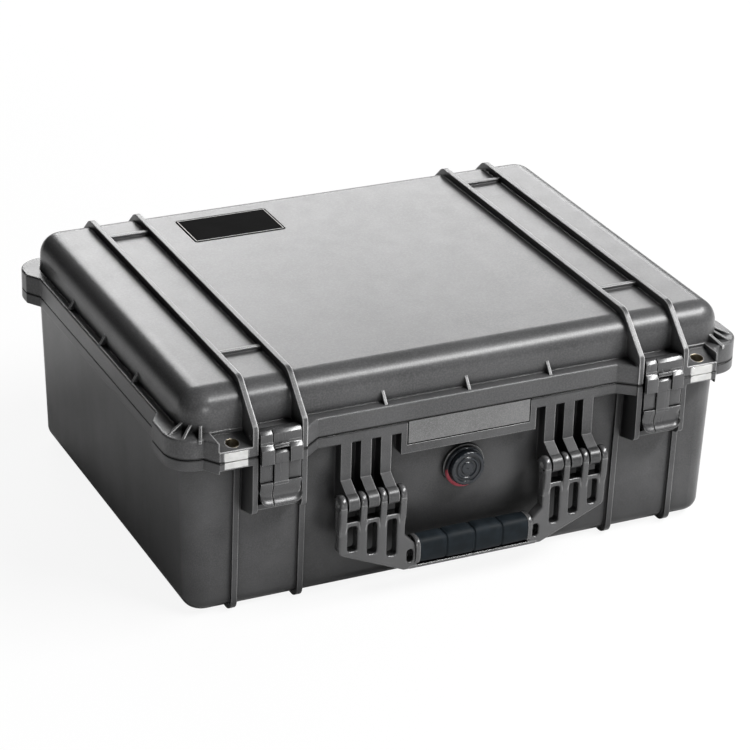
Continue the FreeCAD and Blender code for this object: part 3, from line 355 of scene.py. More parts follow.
@dataclass(frozen=True)
class DrawnSteel:
    """Stainless steel or bronze with fine lines along its length."""

    name: str
    colour: Colour
    stain: Colour
    roughness: float = 0.28

    def material(self) -> Material:
        """Builds the finish.

        Returns:
            The finished material.
        """
        graph = Graph(self.name)
        rounded, edge = graph.edges(radius=0.35 * MM)
        lines = graph.noise(size=0.5 * MM, stretch=(0.04, 1, 1))
        cloud = graph.noise(size=6 * MM)
        body = graph.tint(graph.spread(cloud, 0, 0.6, start=0.4, end=0.75), self.colour, self.stain)
        colour = graph.tint(graph.spread(lines, 0, 0.3, start=0.4, end=0.7), body, self.stain)
        rough = graph.spread(lines, self.roughness - 0.08, self.roughness + 0.1)
        polish = graph.spread(edge, 0, -0.08, start=0, end=1)
        bump = {"Strength": 0.4, "Distance": 0.03 * MM, "Height": lines, "Normal": rounded}
        return graph.close(colour, graph.reckon("ADD", rough, polish), bump, {"Metallic": 1.0})


@dataclass(frozen=True)
class PrintedFoil:
    """Printed foil or membrane with faint fibres."""

    name: str
    colour: Colour
    fibre: Colour
    roughness: float = 0.5

    def material(self) -> Material:
        """Builds the finish.

        Returns:
            The finished material.
        """
        graph = Graph(self.name)
        weave = graph.noise(size=0.6 * MM, stretch=(1, 0.3, 1))
        cloud = graph.noise(size=12 * MM)
        body = graph.tint(graph.spread(weave, 0, 1), self.colour, self.fibre)
        rough = graph.spread(cloud, self.roughness - 0.06, self.roughness + 0.06)
        bump = {"Strength": 0.3, "Distance": 0.03 * MM, "Height": weave}
        return graph.close(body, rough, bump, {"Specular IOR Level": 0.4})


class Finishes:
    """The finishes of the case, each built once."""

    def __init__(self) -> None:
        """Builds every finish."""
        # Case and lid are one plastic, in a darker copy for the base and a lighter one for the lid: painted
        # shade and painted light.
        self.case = MouldedPlastic(
            "case_plastic_grained", (0.042, 0.042, 0.043), (0.36, 0.36, 0.36), shade_reach=70 * MM,
            mottle=0.32, scuffs=0.1, joint_level=JOINT_LEVEL).material()
        # The lid's near-white edge colour gives its ribs a painted highlight.
        self.lid = MouldedPlastic(
            "lid_plastic_grained", (0.052, 0.052, 0.053), (0.7, 0.7, 0.7), grain=1.5 * MM,
            round_edge=2.0 * MM, shade_reach=10 * MM, mottle=0.16, joint_level=JOINT_LEVEL).material()
        self.handle = MouldedPlastic(
            "handle_plastic_grained", (0.05, 0.05, 0.051), (0.34, 0.34, 0.34), roughness=0.26, gloss=0.6,
            grain=0.6 * MM, grain_depth=0.02 * MM, round_edge=1.8 * MM, shade_reach=34 * MM).material()
        self.latch = MouldedPlastic(
            "latch_plastic_satin", (0.036, 0.036, 0.037), (0.28, 0.28, 0.28), roughness=0.26, gloss=0.6,
            grain=0.6 * MM, grain_depth=0.03 * MM, round_edge=1.0 * MM, shade_reach=34 * MM).material()
        self.label = MouldedPlastic(
            "label_plate_black", (0.003, 0.003, 0.003), (0.015, 0.015, 0.015), roughness=0.8, gloss=0.02,
            grain=0.5 * MM, grain_depth=0.01 * MM, round_edge=0.3 * MM).material()
        # The name plate's tone, lighter than the case plastic, is painted light on the plate.
        self.name_plate = MouldedPlastic(
            "name_plate_satin", (0.115, 0.115, 0.115), (0.24, 0.24, 0.24), roughness=0.4, gloss=0.4,
            grain=0.7 * MM, grain_depth=0.03 * MM, round_edge=0.3 * MM).material()
        self.valve = MouldedPlastic(
            "valve_plastic_blue_black", (0.006, 0.008, 0.011), (0.06, 0.065, 0.075), roughness=0.3,
            gloss=0.5, grain=0.6 * MM, grain_depth=0.01 * MM, round_edge=0.4 * MM).material()
        self.gasket = SoftRubber("gasket_rubber_red", (0.26, 0.03, 0.045), (0.4, 0.12, 0.14), 0.5).material()
        self.seal = SoftRubber("seal_rubber_black", (0.02, 0.02, 0.02), (0.05, 0.05, 0.05), 0.65).material()
        self.grip = SoftRubber(
            "grip_rubber_blue_black", (0.004, 0.0065, 0.0085), (0.012, 0.017, 0.022), gloss=0.14).material()
        self.guard = DrawnSteel("guard_stainless", (0.64, 0.64, 0.63), (0.46, 0.46, 0.45), 0.38).material()
        self.pin = DrawnSteel("pin_stainless", (0.62, 0.62, 0.61), (0.45, 0.45, 0.44), 0.32).material()
        self.eyelet = DrawnSteel("eyelet_bronze", (0.3, 0.26, 0.19), (0.16, 0.14, 0.1), 0.34).material()
        self.membrane = PrintedFoil("membrane_white", (0.75, 0.75, 0.73), (0.85, 0.85, 0.83)).material()
        self.border = PrintedFoil("label_border_pale", (0.5, 0.5, 0.49), (0.62, 0.62, 0.6)).material()


# Mesh work


class Maker:
    """Collects the faces of one piece."""

    ROUNDED_ABOVE = math.radians(30)
    CREASED_ABOVE = math.radians(32)

    def __init__(self) -> None:
        """Starts with no faces."""
        self.mesh = bmesh.new()

    def prism(self, outline: Sequence[Point], start: float, end: float) -> None:
        """Draws an outline out along X.

        Args:
            outline: Corners in Y and Z, in millimetres.
            start: Where the prism starts along X, in millimetres.
            end: Where it ends.
        """
        self.loft([[Vector((x, y, z)) * MM for y, z in outline] for x in (start, end)])

    def loft(self, rings: Sequence[Sequence[Vector]], closed: bool = False) -> None:
        """Joins rings of equal length by faces.

        Args:
            rings: Rings of points in metres.
            closed: Whether the last ring joins the first. If not, both get a face.
        """
        loops = [[self.mesh.verts.new(point) for point in ring] for ring in rings]
        pairs = list(zip(loops, loops[1:]))
        if closed:
            pairs.append((loops[-1], loops[0]))
        for first, second in pairs:
            for here in range(len(first)):
                after = (here + 1) % len(first)
                self.mesh.faces.new((first[here], first[after], second[after], second[here]))
        if not closed:
            self.mesh.faces.new(loops[0][::-1])
            self.mesh.faces.new(loops[-1])

    def turn(self, profile: Sequence[Point], centre: Place, axis: Axis, steps: int) -> None:
        """Turns a closed profile about an axis.

        Args:
            profile: Radius and place along the axis, in millimetres.
            centre: Point on the axis from which the places count, in millimetres.
            axis: Axis of the turning.
            steps: Number of steps round.
        """
        rings = []
        for step in range(steps):
            angle = 2 * math.pi * step / steps
            ring = []
            for radius, along in profile:
                spot = [radius * math.cos(angle), radius * math.sin(angle)]
                spot.insert(axis.value, along)
                ring.append(Vector(centre) * MM + Vector(spot) * MM)
            rings.append(ring)
        self.loft(rings, closed=True)

    def plate(self, outlines: Sequence[Sequence[Point]], front: float, back: float, rounding: float) -> None:
        """Draws a flat outline with its holes out along Y and rounds its edges.

        Args:
            outlines: The outer outline, then the holes: corners in X and Z, in millimetres.
            front: Place of the front face along Y.
            back: Place of the back face.
            rounding: Radius of the edges.
        """
        curve = bpy.data.curves.new("plate_outline", "CURVE")
        curve.dimensions = "2D"
        curve.fill_mode = "BOTH"
        curve.extrude = ((back - front) / 2 - rounding) * MM
        curve.bevel_depth = rounding * MM
        curve.bevel_resolution = 3
        curve.offset = -rounding * MM
        for outline in outlines:
            spline = curve.splines.new("POLY")
            spline.points.add(len(outline) - 1)
            for point, (x, z) in zip(spline.points, outline):
                point.co = (x * MM, z * MM, 0, 1)
            spline.use_cyclic_u = True
        thing = bpy.data.objects.new("plate_outline", curve)
        drawn = thing.to_mesh()
        upright = Matrix.Rotation(math.pi / 2, 4, "X")
        drawn.transform(Matrix.Translation((0, (front + back) / 2 * MM, 0)) @ upright)
        self.mesh.from_mesh(drawn)
        bpy.data.objects.remove(thing)
        bpy.data.curves.remove(curve)
        bmesh.ops.remove_doubles(self.mesh, verts=self.mesh.verts, dist=1e-6)

    def soften(self, width: float, steps: int = 2) -> None:
        """Rounds the sharp edges.

        Args:
            width: Width of the rounding in millimetres.
            steps: Faces across the rounding.
        """
        bmesh.ops.remove_doubles(self.mesh, verts=self.mesh.verts, dist=1e-7)
        bmesh.ops.recalc_face_normals(self.mesh, faces=self.mesh.faces)
        sharp = [edge for edge in self.mesh.edges
                 if edge.is_manifold and edge.calc_face_angle(0.0) > self.ROUNDED_ABOVE]
        bmesh.ops.bevel(self.mesh, geom=sharp, offset=width * MM, segments=steps, profile=0.5,
                        affect="EDGES", clamp_overlap=True)

    def piece(self, name: str, body: Body, finish: Material, slot: Slot,
              nodes: Sequence[str] = ()) -> bpy.types.Object:
        """Makes the piece and lets it ride on its body.

        Args:
            name: Name of the piece.
            body: Body that carries it.
            finish: Its material.
            slot: Material slot of the record. Not used.
            nodes: CAD nodes that the piece stands for.

        Returns:
            The new object.
        """
        bmesh.ops.recalc_face_normals(self.mesh, faces=self.mesh.faces)
        data = bpy.data.meshes.new(name)
        self.mesh.to_mesh(data)
        self.mesh.free()
        data.shade_smooth()
        data.set_sharp_from_angle(angle=self.CREASED_ABOVE)
        data.materials.append(finish)
        thing = bpy.data.objects.new(name, data)
        bpy.context.scene.collection.objects.link(thing)
        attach(thing, body.value)
        if nodes:
            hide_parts(*nodes)
        LOG.info("piece %s on %s", name, body.value)
        return thing


def dress(node: str, finish: Material) -> None:
    """Gives a CAD node its finish.

    Args:
        node: Name of the node.
        finish: Its material.
    """
    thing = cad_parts[node]
    thing.data.materials.clear()
    thing.data.materials.append(finish)
    LOG.info("dressed %s", node)


# Sub-assemblies


@dataclass
class SubAssembly:
    """A group of pieces and CAD nodes that belong together."""

    finishes: Finishes

    def build(self) -> None:
        """Adds nothing, unless the group has pieces of its own."""

    def dress(self) -> None:
        """Dresses nothing, unless the group shows CAD nodes."""


@dataclass
class Shells(SubAssembly):
    """The two moulded shells, with the seal between them and the hinge pins."""

    def dress(self) -> None:
        """Dresses the shells, the seal and the hinge pins."""
        dress("base_shell", self.finishes.case)
        dress("lid_shell", self.finishes.lid)
        dress("lid_seal", self.finishes.seal)
        for side in Side:
            dress(f"hinge_pin_{side.word}", self.finishes.pin)


@dataclass
class Plates(SubAssembly):
    """The bare label plate on the lid and the name plate on the front."""

    border_inset: float = 1.6
    border_width: float = 0.5
    border_rise: float = 0.12
    border_sink: float = 0.1
    shadow_width: float = 0.9
    shadow_proud: float = 0.03
    shadow_depth: float = 0.4

    def build(self) -> None:
        """Builds the border of the label plate and the dark strip round the name plate."""
        self._border()
        self._painted_shadow()

    def dress(self) -> None:
        """Dresses both plates."""
        dress("lid_plate", self.finishes.label)
        dress("name_plate", self.finishes.name_plate)

    def _border(self) -> None:
        """Builds the thin printed border as a closed frame let into the label plate."""
        low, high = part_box("lid_plate")
        middle = (low + high) / 2 / MM
        reach = (high - low) / 2 / MM
        top = high.z / MM
        section = ((0.0, -self.border_sink), (self.border_width, -self.border_sink),
                   (self.border_width, self.border_rise), (0.0, self.border_rise))
        rings = []
        for right, back in ((-1, -1), (1, -1), (1, 1), (-1, 1)):
            ring = []
            for width, rise in section:
                inset = self.border_inset + width
                x = middle.x + right * (reach.x - inset)
                y = middle.y + back * (reach.y - inset)
                ring.append(Vector((x, y, top + rise)) * MM)
            rings.append(ring)
        border = Maker()
        border.loft(rings, closed=True)
        border.piece("label_border", Body.LID, self.finishes.border, Slot.PLATE)

    def _painted_shadow(self) -> None:
        """Builds a dark strip along both ends and the lower edge of the name plate, as painted shadow in its
        gap.
        """
        low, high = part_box("name_plate")
        middle = (low + high) / 2 / MM
        reach = (high - low) / 2 / MM
        front = low.y / MM - self.shadow_proud
        back = low.y / MM + self.shadow_depth
        section = ((0.0, front), (self.shadow_width, front), (self.shadow_width, back), (0.0, back))
        rings = []
        for right, up in ((-1, 1), (-1, -1), (1, -1), (1, 1)):
            ring = []
            for inset, y in section:
                raised = inset if up < 0 else 0.0
                x = middle.x + right * (reach.x - inset)
                ring.append(Vector((x, y, middle.z + up * (reach.z - raised))) * MM)
            rings.append(ring)
        # Painted shadow: a thin dark strip where the plate's gap lies in shade.
        joint = Maker()
        joint.loft(rings)
        joint.piece("name_plate_painted_shadow", Body.BASE, self.finishes.label, Slot.PLATE)


@dataclass
class PadlockHasp(SubAssembly):
    """Folded steel guards of one padlock hasp, with the bronze eyelet in the hole."""

    side: Side
    middle_x: float = 214.2
    middle_y: float = -198.0
    top: float = 165.6
    slope: float = 0.227
    bore: float = 5.1
    wall: float = 0.35
    depth: float = 7.6
    collar: float = 6.0
    steps: int = 40

    def build(self) -> None:
        """Builds the eyelet that lines the lid's padlock hole. Its collar leans with the hasp's top."""
        centre = (self.middle_x * self.side.value, self.middle_y, self.top)
        outer = self.bore + self.wall
        profile = ((self.bore, -self.depth), (self.bore, 0.25), (outer, 0.5), (self.collar - 0.3, 0.45),
                   (self.collar, 0.2), (self.collar, -0.3), (outer, -0.4), (outer, -self.depth))
        eyelet = Maker()
        eyelet.turn(profile, centre, Axis.Z, self.steps)
        for vert in eyelet.mesh.verts:
            if vert.co.z > (self.top - self.depth / 2) * MM:
                vert.co.z += self.slope * (vert.co.y - self.middle_y * MM)
        eyelet.piece(f"padlock_eyelet_{self.side.word}", Body.LID, self.finishes.eyelet, Slot.GUARD)

    def dress(self) -> None:
        """Dresses the steel guards."""
        for half in ("lid", "base"):
            dress(f"padlock_guard_{half}_{self.side.word}", self.finishes.guard)


@dataclass
class Latch(SubAssembly):
    """One double-throw latch: a link on the lid and a lever on the link."""

    side: Side
    middle: float = 176.2
    half: float = 17.75
    edge_round: float = 0.35
    groove: tuple[float, float] = (-7.5, -6.5)
    groove_depth: float = 1.6
    arm_inner: float = 7.0
    web_half: float = 7.2
    ledge_lows: tuple[float, ...] = (163.0, 161.0)
    ledge_height: float = 1.2
    ledge_overlap: float = 0.2
    band: float = 6.2
    pin_y: float = -205.5
    pin_z: float = 154.3
    knuckle_radius: float = 5.4
    nose_half: float = 11.5
    pull_top: float = 130.4
    pull_low: float = 109.8
    pull_round: float = 6.0
    pull_curl: float = 0.5
    pull_heel: float = 0.35
    pull_back: float = -203.0
    pull_toe: float = -206.6
    pull_front: tuple[Point, ...] = (
        (130.4, -209.6), (130.0, -210.6), (128.6, -211.0), (126.5, -210.7), (124.0, -209.9), (121.5, -209.2),
        (119.0, -208.9), (116.8, -209.2), (114.9, -210.1), (113.3, -211.4), (112.0, -212.5), (111.0, -213.0),
        (110.2, -212.6), (109.8, -211.5))

    def build(self) -> None:
        """Builds the link and the lever."""
        for kind, maker in (("link", self._link()), ("lever", self._lever())):
            word = self.side.word
            maker.piece(f"latch_{kind}_moulded_{word}", Body(f"{kind}_{word}"), self.finishes.latch,
                        Slot.LATCH, [f"latch_{kind}_{word}"])

    def dress(self) -> None:
        """Dresses the pins."""
        dress(f"latch_pin_{self.side.word}", self.finishes.pin)
        dress(f"lever_pin_{self.side.word}", self.finishes.pin)

    def _link(self) -> Maker:
        """Shapes the link: grooved knuckle bar, side arms, raised blocks and two small ledges on a web.

        Returns:
            The maker with the link's faces.
        """
        x = self.middle * self.side.value
        link = Maker()
        top = [(-197.6, 174.4), (-199.6, 175.5)]
        front = [(-206.2, 175.6), (-209.0, 173.0), (-209.0, 164.6)]
        rear = [(-198.6, 164.2), (-196.0, 167.0), (-195.8, 171.6)]
        bar = top + front + rear
        core = top + [(y + self.groove_depth, z) for y, z in front] + rear
        start, end = self.groove
        runs = ((-self.half, bar), (start, bar), (start, core), (end, core), (end, bar), (self.half, bar))
        link.loft([[Vector((x + place, y, z)) * MM for y, z in outline] for place, outline in runs])
        arm = [(-198.7, 166.0), (-208.9, 166.0), (-208.9, 131.2), (-198.7, 131.2)]
        raised = [(-204.0, 163.6), (-209.0, 163.6), (-212.5, 160.4), (-212.5, 147.9), (-211.9, 147.3),
                  (-204.0, 147.3)]
        for low, high in ((-self.half, -self.arm_inner), (self.arm_inner, self.half)):
            link.prism(arm, x + low, x + high)
            link.prism(raised, x + low, x + high)
        for low in self.ledge_lows:
            high = low + self.ledge_height
            ledge = [(-205.0, low), (-211.0, low), (-210.3, high), (-205.0, high)]
            link.prism(ledge, x - self.band, x + self.band + self.ledge_overlap)
        web = [(-199.0, 160.6), (-208.6, 160.6), (-208.6, 165.0), (-199.0, 165.0)]
        link.prism(web, x - self.web_half, x + self.web_half)
        link.soften(self.edge_round)
        return link

    def _lever(self) -> Maker:
        """Shapes the lever: tongue with its knuckle, scooped finger pull and nose.

        Returns:
            The maker with the lever's faces.
        """
        x = self.middle * self.side.value
        lever = Maker()
        turns = [math.radians(degrees) for degrees in range(-100, 41, 20)]
        tongue = [(self.pin_y - self.knuckle_radius * math.sin(turn),
                   self.pin_z + self.knuckle_radius * math.cos(turn)) for turn in turns]
        tongue += [(-211.4, 156.4), (-211.4, 147.6), (-210.6, 147.0), (-210.4, 131.0), (-211.0, 128.0),
                   (-203.0, 128.0), (-203.0, 149.0)]
        lever.prism(tongue, x - self.band, x + self.band)
        lever.soften(self.edge_round)
        ends = [17.75, 17.5, 16.9, 16.0, 14.8, 13.4, 11.75, 9.5]
        between = [-7.5, -7.4, -6.6, -6.5, -3.0, 0.0, 3.0, 6.5]
        places = [-end for end in ends] + between + ends[::-1]
        lever.loft([self._pull_ring(x, place) for place in places])
        nose = [(-205.0, 116.2), (-198.3, 116.2), (-197.9, 116.8), (-197.9, 119.8), (-198.3, 120.2),
                (-205.0, 120.2)]
        lever.prism(nose, x - self.nose_half, x + self.nose_half)
        return lever

    def _pull_ring(self, x: float, place: float) -> list[Vector]:
        """Gives the outline of the finger pull at one place across it.

        Args:
            x: Centre of the latch in millimetres.
            place: Place across the pull, from its centre.

        Returns:
            Points of the outline in metres.
        """
        height = self.pull_top - self.pull_low
        over = max(0.0, abs(place) - (self.half - self.pull_round))
        rise = self.pull_round - math.sqrt(max(0.0, self.pull_round ** 2 - over ** 2))
        share = (height - rise) / height
        sunk = self.groove_depth if self.groove[0] < place < self.groove[1] else 0.0
        curl = self.pull_curl * (over / self.pull_round) ** 2
        ring = [(y + sunk + curl, self.pull_top - (self.pull_top - z) * share) for z, y in self.pull_front]
        low = self.pull_top - height * share
        heel = low + (self.pull_top - low) * self.pull_heel
        ring += [(self.pull_toe, low), (self.pull_back, heel), (self.pull_back, self.pull_top)]
        return [Vector((x + place, y, z)) * MM for y, z in ring]


@dataclass
class Handle(SubAssembly):
    """The folding handle: frame with slotted arms, rubber grip, and collars at the grip's ends."""

    half_length: float = 52.0
    half_height: float = 12.0
    half_depth: float = 10.0
    middle_y: float = -204.5
    middle_z: float = 39.8
    squareness: float = 3.2
    grooves: tuple[float, ...] = (-26.0, 0.0, 26.0)
    groove_width: float = 0.9
    groove_depth: float = 0.9
    groove_step: float = 0.25
    groove_rings: int = 12
    notch_width: float = 3.2
    notch_depth: float = 1.1
    notch_focus: int = 6
    steepness: int = 4
    end_round: float = 2.0
    end_insets: tuple[float, ...] = (0, 0.15, 0.5, 1.0, 1.6, 2.2)
    crown: float = 0.7
    grip_steps: int = 52
    grip_points: int = 72
    collar_points: int = 48
    collar_profile: tuple[Point, ...] = (
        (-1.6, 0.9), (-1.3, 0.2), (-0.6, 0.0), (1.6, 0.0), (2.3, 0.3), (2.6, 1.0))
    pin_y: float = -206.5
    pin_z: float = 96.0
    fingers: tuple[float, ...] = (67.2, 85.2, 103.2, 121.2)
    finger_half: float = 3.0
    finger_top: float = 92.0
    finger_inset: float = 0.05
    finger_round: float = 1.2
    loop_radius: float = 7.95
    loop_bore: float = 2.75
    loop_steps: int = 56
    plate_front: float = -211.8
    plate_back: float = -201.0
    plate_round: float = 1.9
    plate_low: float = 24.5
    strip_height: float = 3.0
    strip_reach: float = 8.0
    notch_low: float = 80.0
    window_x: Point = (56.0, 61.6)
    window_z: Point = (31.5, 43.0)
    slot_half: float = 4.25
    slot_tops: tuple[float, ...] = (75.4, 75.6, 75.5)
    slot_lows: tuple[float, ...] = (41.0, 46.5, 52.5)
    slot_round: float = 2.6
    slot_steps: int = 5

    def build(self) -> None:
        """Builds the frame, the grip as a row of four soft segments, and the collars at its ends."""
        moulded = self._frame().piece("handle_frame_moulded", Body.HANDLE, self.finishes.handle, Slot.CASE,
                                      ["handle_frame"])
        moulded.modifiers.new("even_shading", "WEIGHTED_NORMAL").keep_sharp = True
        grip = Maker()
        grip.loft([self._ring(x, self._dents(x)) for x in self._stations()])
        grip.piece("grip_sleeve", Body.HANDLE, self.finishes.grip, Slot.GRIP, ["handle_grip"])
        collars = Maker()
        for side in Side:
            rings = [self._ring(side.value * (self.half_length + out), [dent] * self.collar_points)
                     for out, dent in self.collar_profile]
            collars.loft(rings[::side.value])
        collars.piece("grip_end_collars", Body.HANDLE, self.finishes.handle, Slot.CASE)

    def dress(self) -> None:
        """Dresses the pins."""
        for side in Side:
            dress(f"handle_pin_{side.word}", self.finishes.pin)

    def _frame(self) -> Maker:
        """Shapes the frame: raised fingers, the strip under the grip, loops round the pins and slotted arms.

        Returns:
            The maker with the frame's faces.
        """
        maker = Maker()
        finger_outline = [(-214.3, 95.0), (-213.9, 88.0), (-213.5, 80.0), (-213.2, 76.5), (-211.0, 68.0),
                          (-206.0, 68.0), (-206.0, 91.5), (-210.0, 95.0)]
        width = self.finger_half - self.finger_inset
        places = [side.value * finger for side in Side for finger in self.fingers]
        for x in places:
            maker.prism(finger_outline, x - width, x + width)
        strip_top = self.plate_low + self.strip_height
        strip = [(self.plate_front, self.plate_low), (self.plate_back, self.plate_low),
                 (self.plate_back, strip_top), (self.plate_front, strip_top)]
        strip_half = self.half_length + self.strip_reach
        maker.prism(strip, -strip_half, strip_half)
        maker.soften(self.finger_round, steps=3)
        outer = self.loop_radius
        half = [(outer, 1.2), (outer - 0.35, 2.1), (outer - 1.05, 2.7), (outer - 1.95, width),
                (self.loop_bore, width)]
        profile = half + [(radius, -along) for radius, along in reversed(half)]
        for x in places:
            maker.turn(profile, (x, self.pin_y, self.pin_z), Axis.X, self.loop_steps)
        for side in Side:
            outlines = [[(side.value * x, z) for x, z in outline] for outline in self._arm()]
            maker.plate(outlines, self.plate_front, self.plate_back, self.plate_round)
        return maker

    def _arm(self) -> list[list[Point]]:
        """Gives the outline of the right arm and its holes.

        The slots' tops differ a little, so that no face of the flat sides is empty.

        Returns:
            The outer outline, then the small window beside the grip and the slots: corners in X and Z,
            in millimetres.
        """
        half = self.finger_half
        inner, outer = self.fingers[0] - half, self.fingers[-1] + half
        outline = [(self.half_length, self.plate_low), (inner, self.plate_low), (outer - 2.7, 49.4),
                   (outer, 53.0)]
        comb = []
        for finger in reversed(self.fingers):
            comb += [(finger + half, self.notch_low), (finger + half, self.finger_top),
                     (finger - half, self.finger_top), (finger - half, self.notch_low)]
        outline += comb[1:-1] + [(inner, 57.9), (self.half_length, 45.8)]
        holes = [self._rounded_box(self.window_x, self.window_z)]
        for left, right, low, top in zip(self.fingers, self.fingers[1:], self.slot_lows, self.slot_tops):
            x = (left + right) / 2
            holes.append(self._rounded_box((x - self.slot_half, x + self.slot_half), (low, top)))
        return [outline] + holes

    def _rounded_box(self, x: Point, z: Point) -> list[Point]:
        """Gives a box with rounded corners.

        Args:
            x: Its ends in X.
            z: Its ends in Z.

        Returns:
            Points of the outline in millimetres.
        """
        reach = self.slot_round
        corners = ((x[1], z[1], 1, 1), (x[0], z[1], -1, 1), (x[0], z[0], -1, -1), (x[1], z[0], 1, -1))
        outline = []
        for number, (corner_x, corner_z, right, up) in enumerate(corners):
            for step in range(self.slot_steps + 1):
                angle = math.pi / 2 * (number + step / self.slot_steps)
                outline.append((corner_x - right * reach + reach * math.cos(angle),
                                corner_z - up * reach + reach * math.sin(angle)))
        return outline

    def _ring(self, x: float, dents: Sequence[float]) -> list[Vector]:
        """Gives an outline as large as the grip, a square with round corners.

        Args:
            x: Place of the outline along X, in millimetres.
            dents: How far each of its points is drawn in, in millimetres.

        Returns:
            Points of the outline in metres.
        """
        ring = []
        for number, dent in enumerate(dents):
            angle = 2 * math.pi * number / len(dents)
            across, up = math.cos(angle), math.sin(angle)
            reach = (abs(across) ** self.squareness + abs(up) ** self.squareness) ** (-1 / self.squareness)
            y = self.middle_y + reach * across * (self.half_depth - dent)
            z = self.middle_z + reach * up * (self.half_height - dent)
            ring.append(Vector((x, y, z)) * MM)
        return ring

    def _stations(self) -> list[float]:
        """Gives the places of the grip's rings along X, close together at the grooves and the ends.

        Returns:
            The places in order, in millimetres.
        """
        step = 2 * self.half_length / self.grip_steps
        places = {round(-self.half_length + number * step, 3) for number in range(self.grip_steps + 1)}
        for side in Side:
            places.update(round(side.value * (self.half_length - inset), 3) for inset in self.end_insets)
        for groove in self.grooves:
            numbers = range(-self.groove_rings, self.groove_rings + 1)
            places.update(round(groove + number * self.groove_step, 3) for number in numbers)
        return sorted(places)

    def _dents(self, x: float) -> list[float]:
        """Gives how far the points of the grip's outline are drawn in at one place.

        Args:
            x: Place along the grip in millimetres.

        Returns:
            One depth for each point, in millimetres.
        """
        inset = self.half_length - abs(x)
        shrink = self.crown * (x / self.half_length) ** 2
        if inset < self.end_round:
            shrink += self.end_round - math.sqrt(self.end_round ** 2 - (self.end_round - inset) ** 2)
        dents = []
        for number in range(self.grip_points):
            top = max(0.0, math.sin(2 * math.pi * number / self.grip_points)) ** self.notch_focus
            dent = shrink
            for groove in self.grooves:
                away = x - groove
                dent += self.groove_depth * math.exp(-(away / self.groove_width) ** self.steepness)
                dent += self.notch_depth * top * math.exp(-(away / self.notch_width) ** self.steepness)
            dents.append(dent)
        return dents


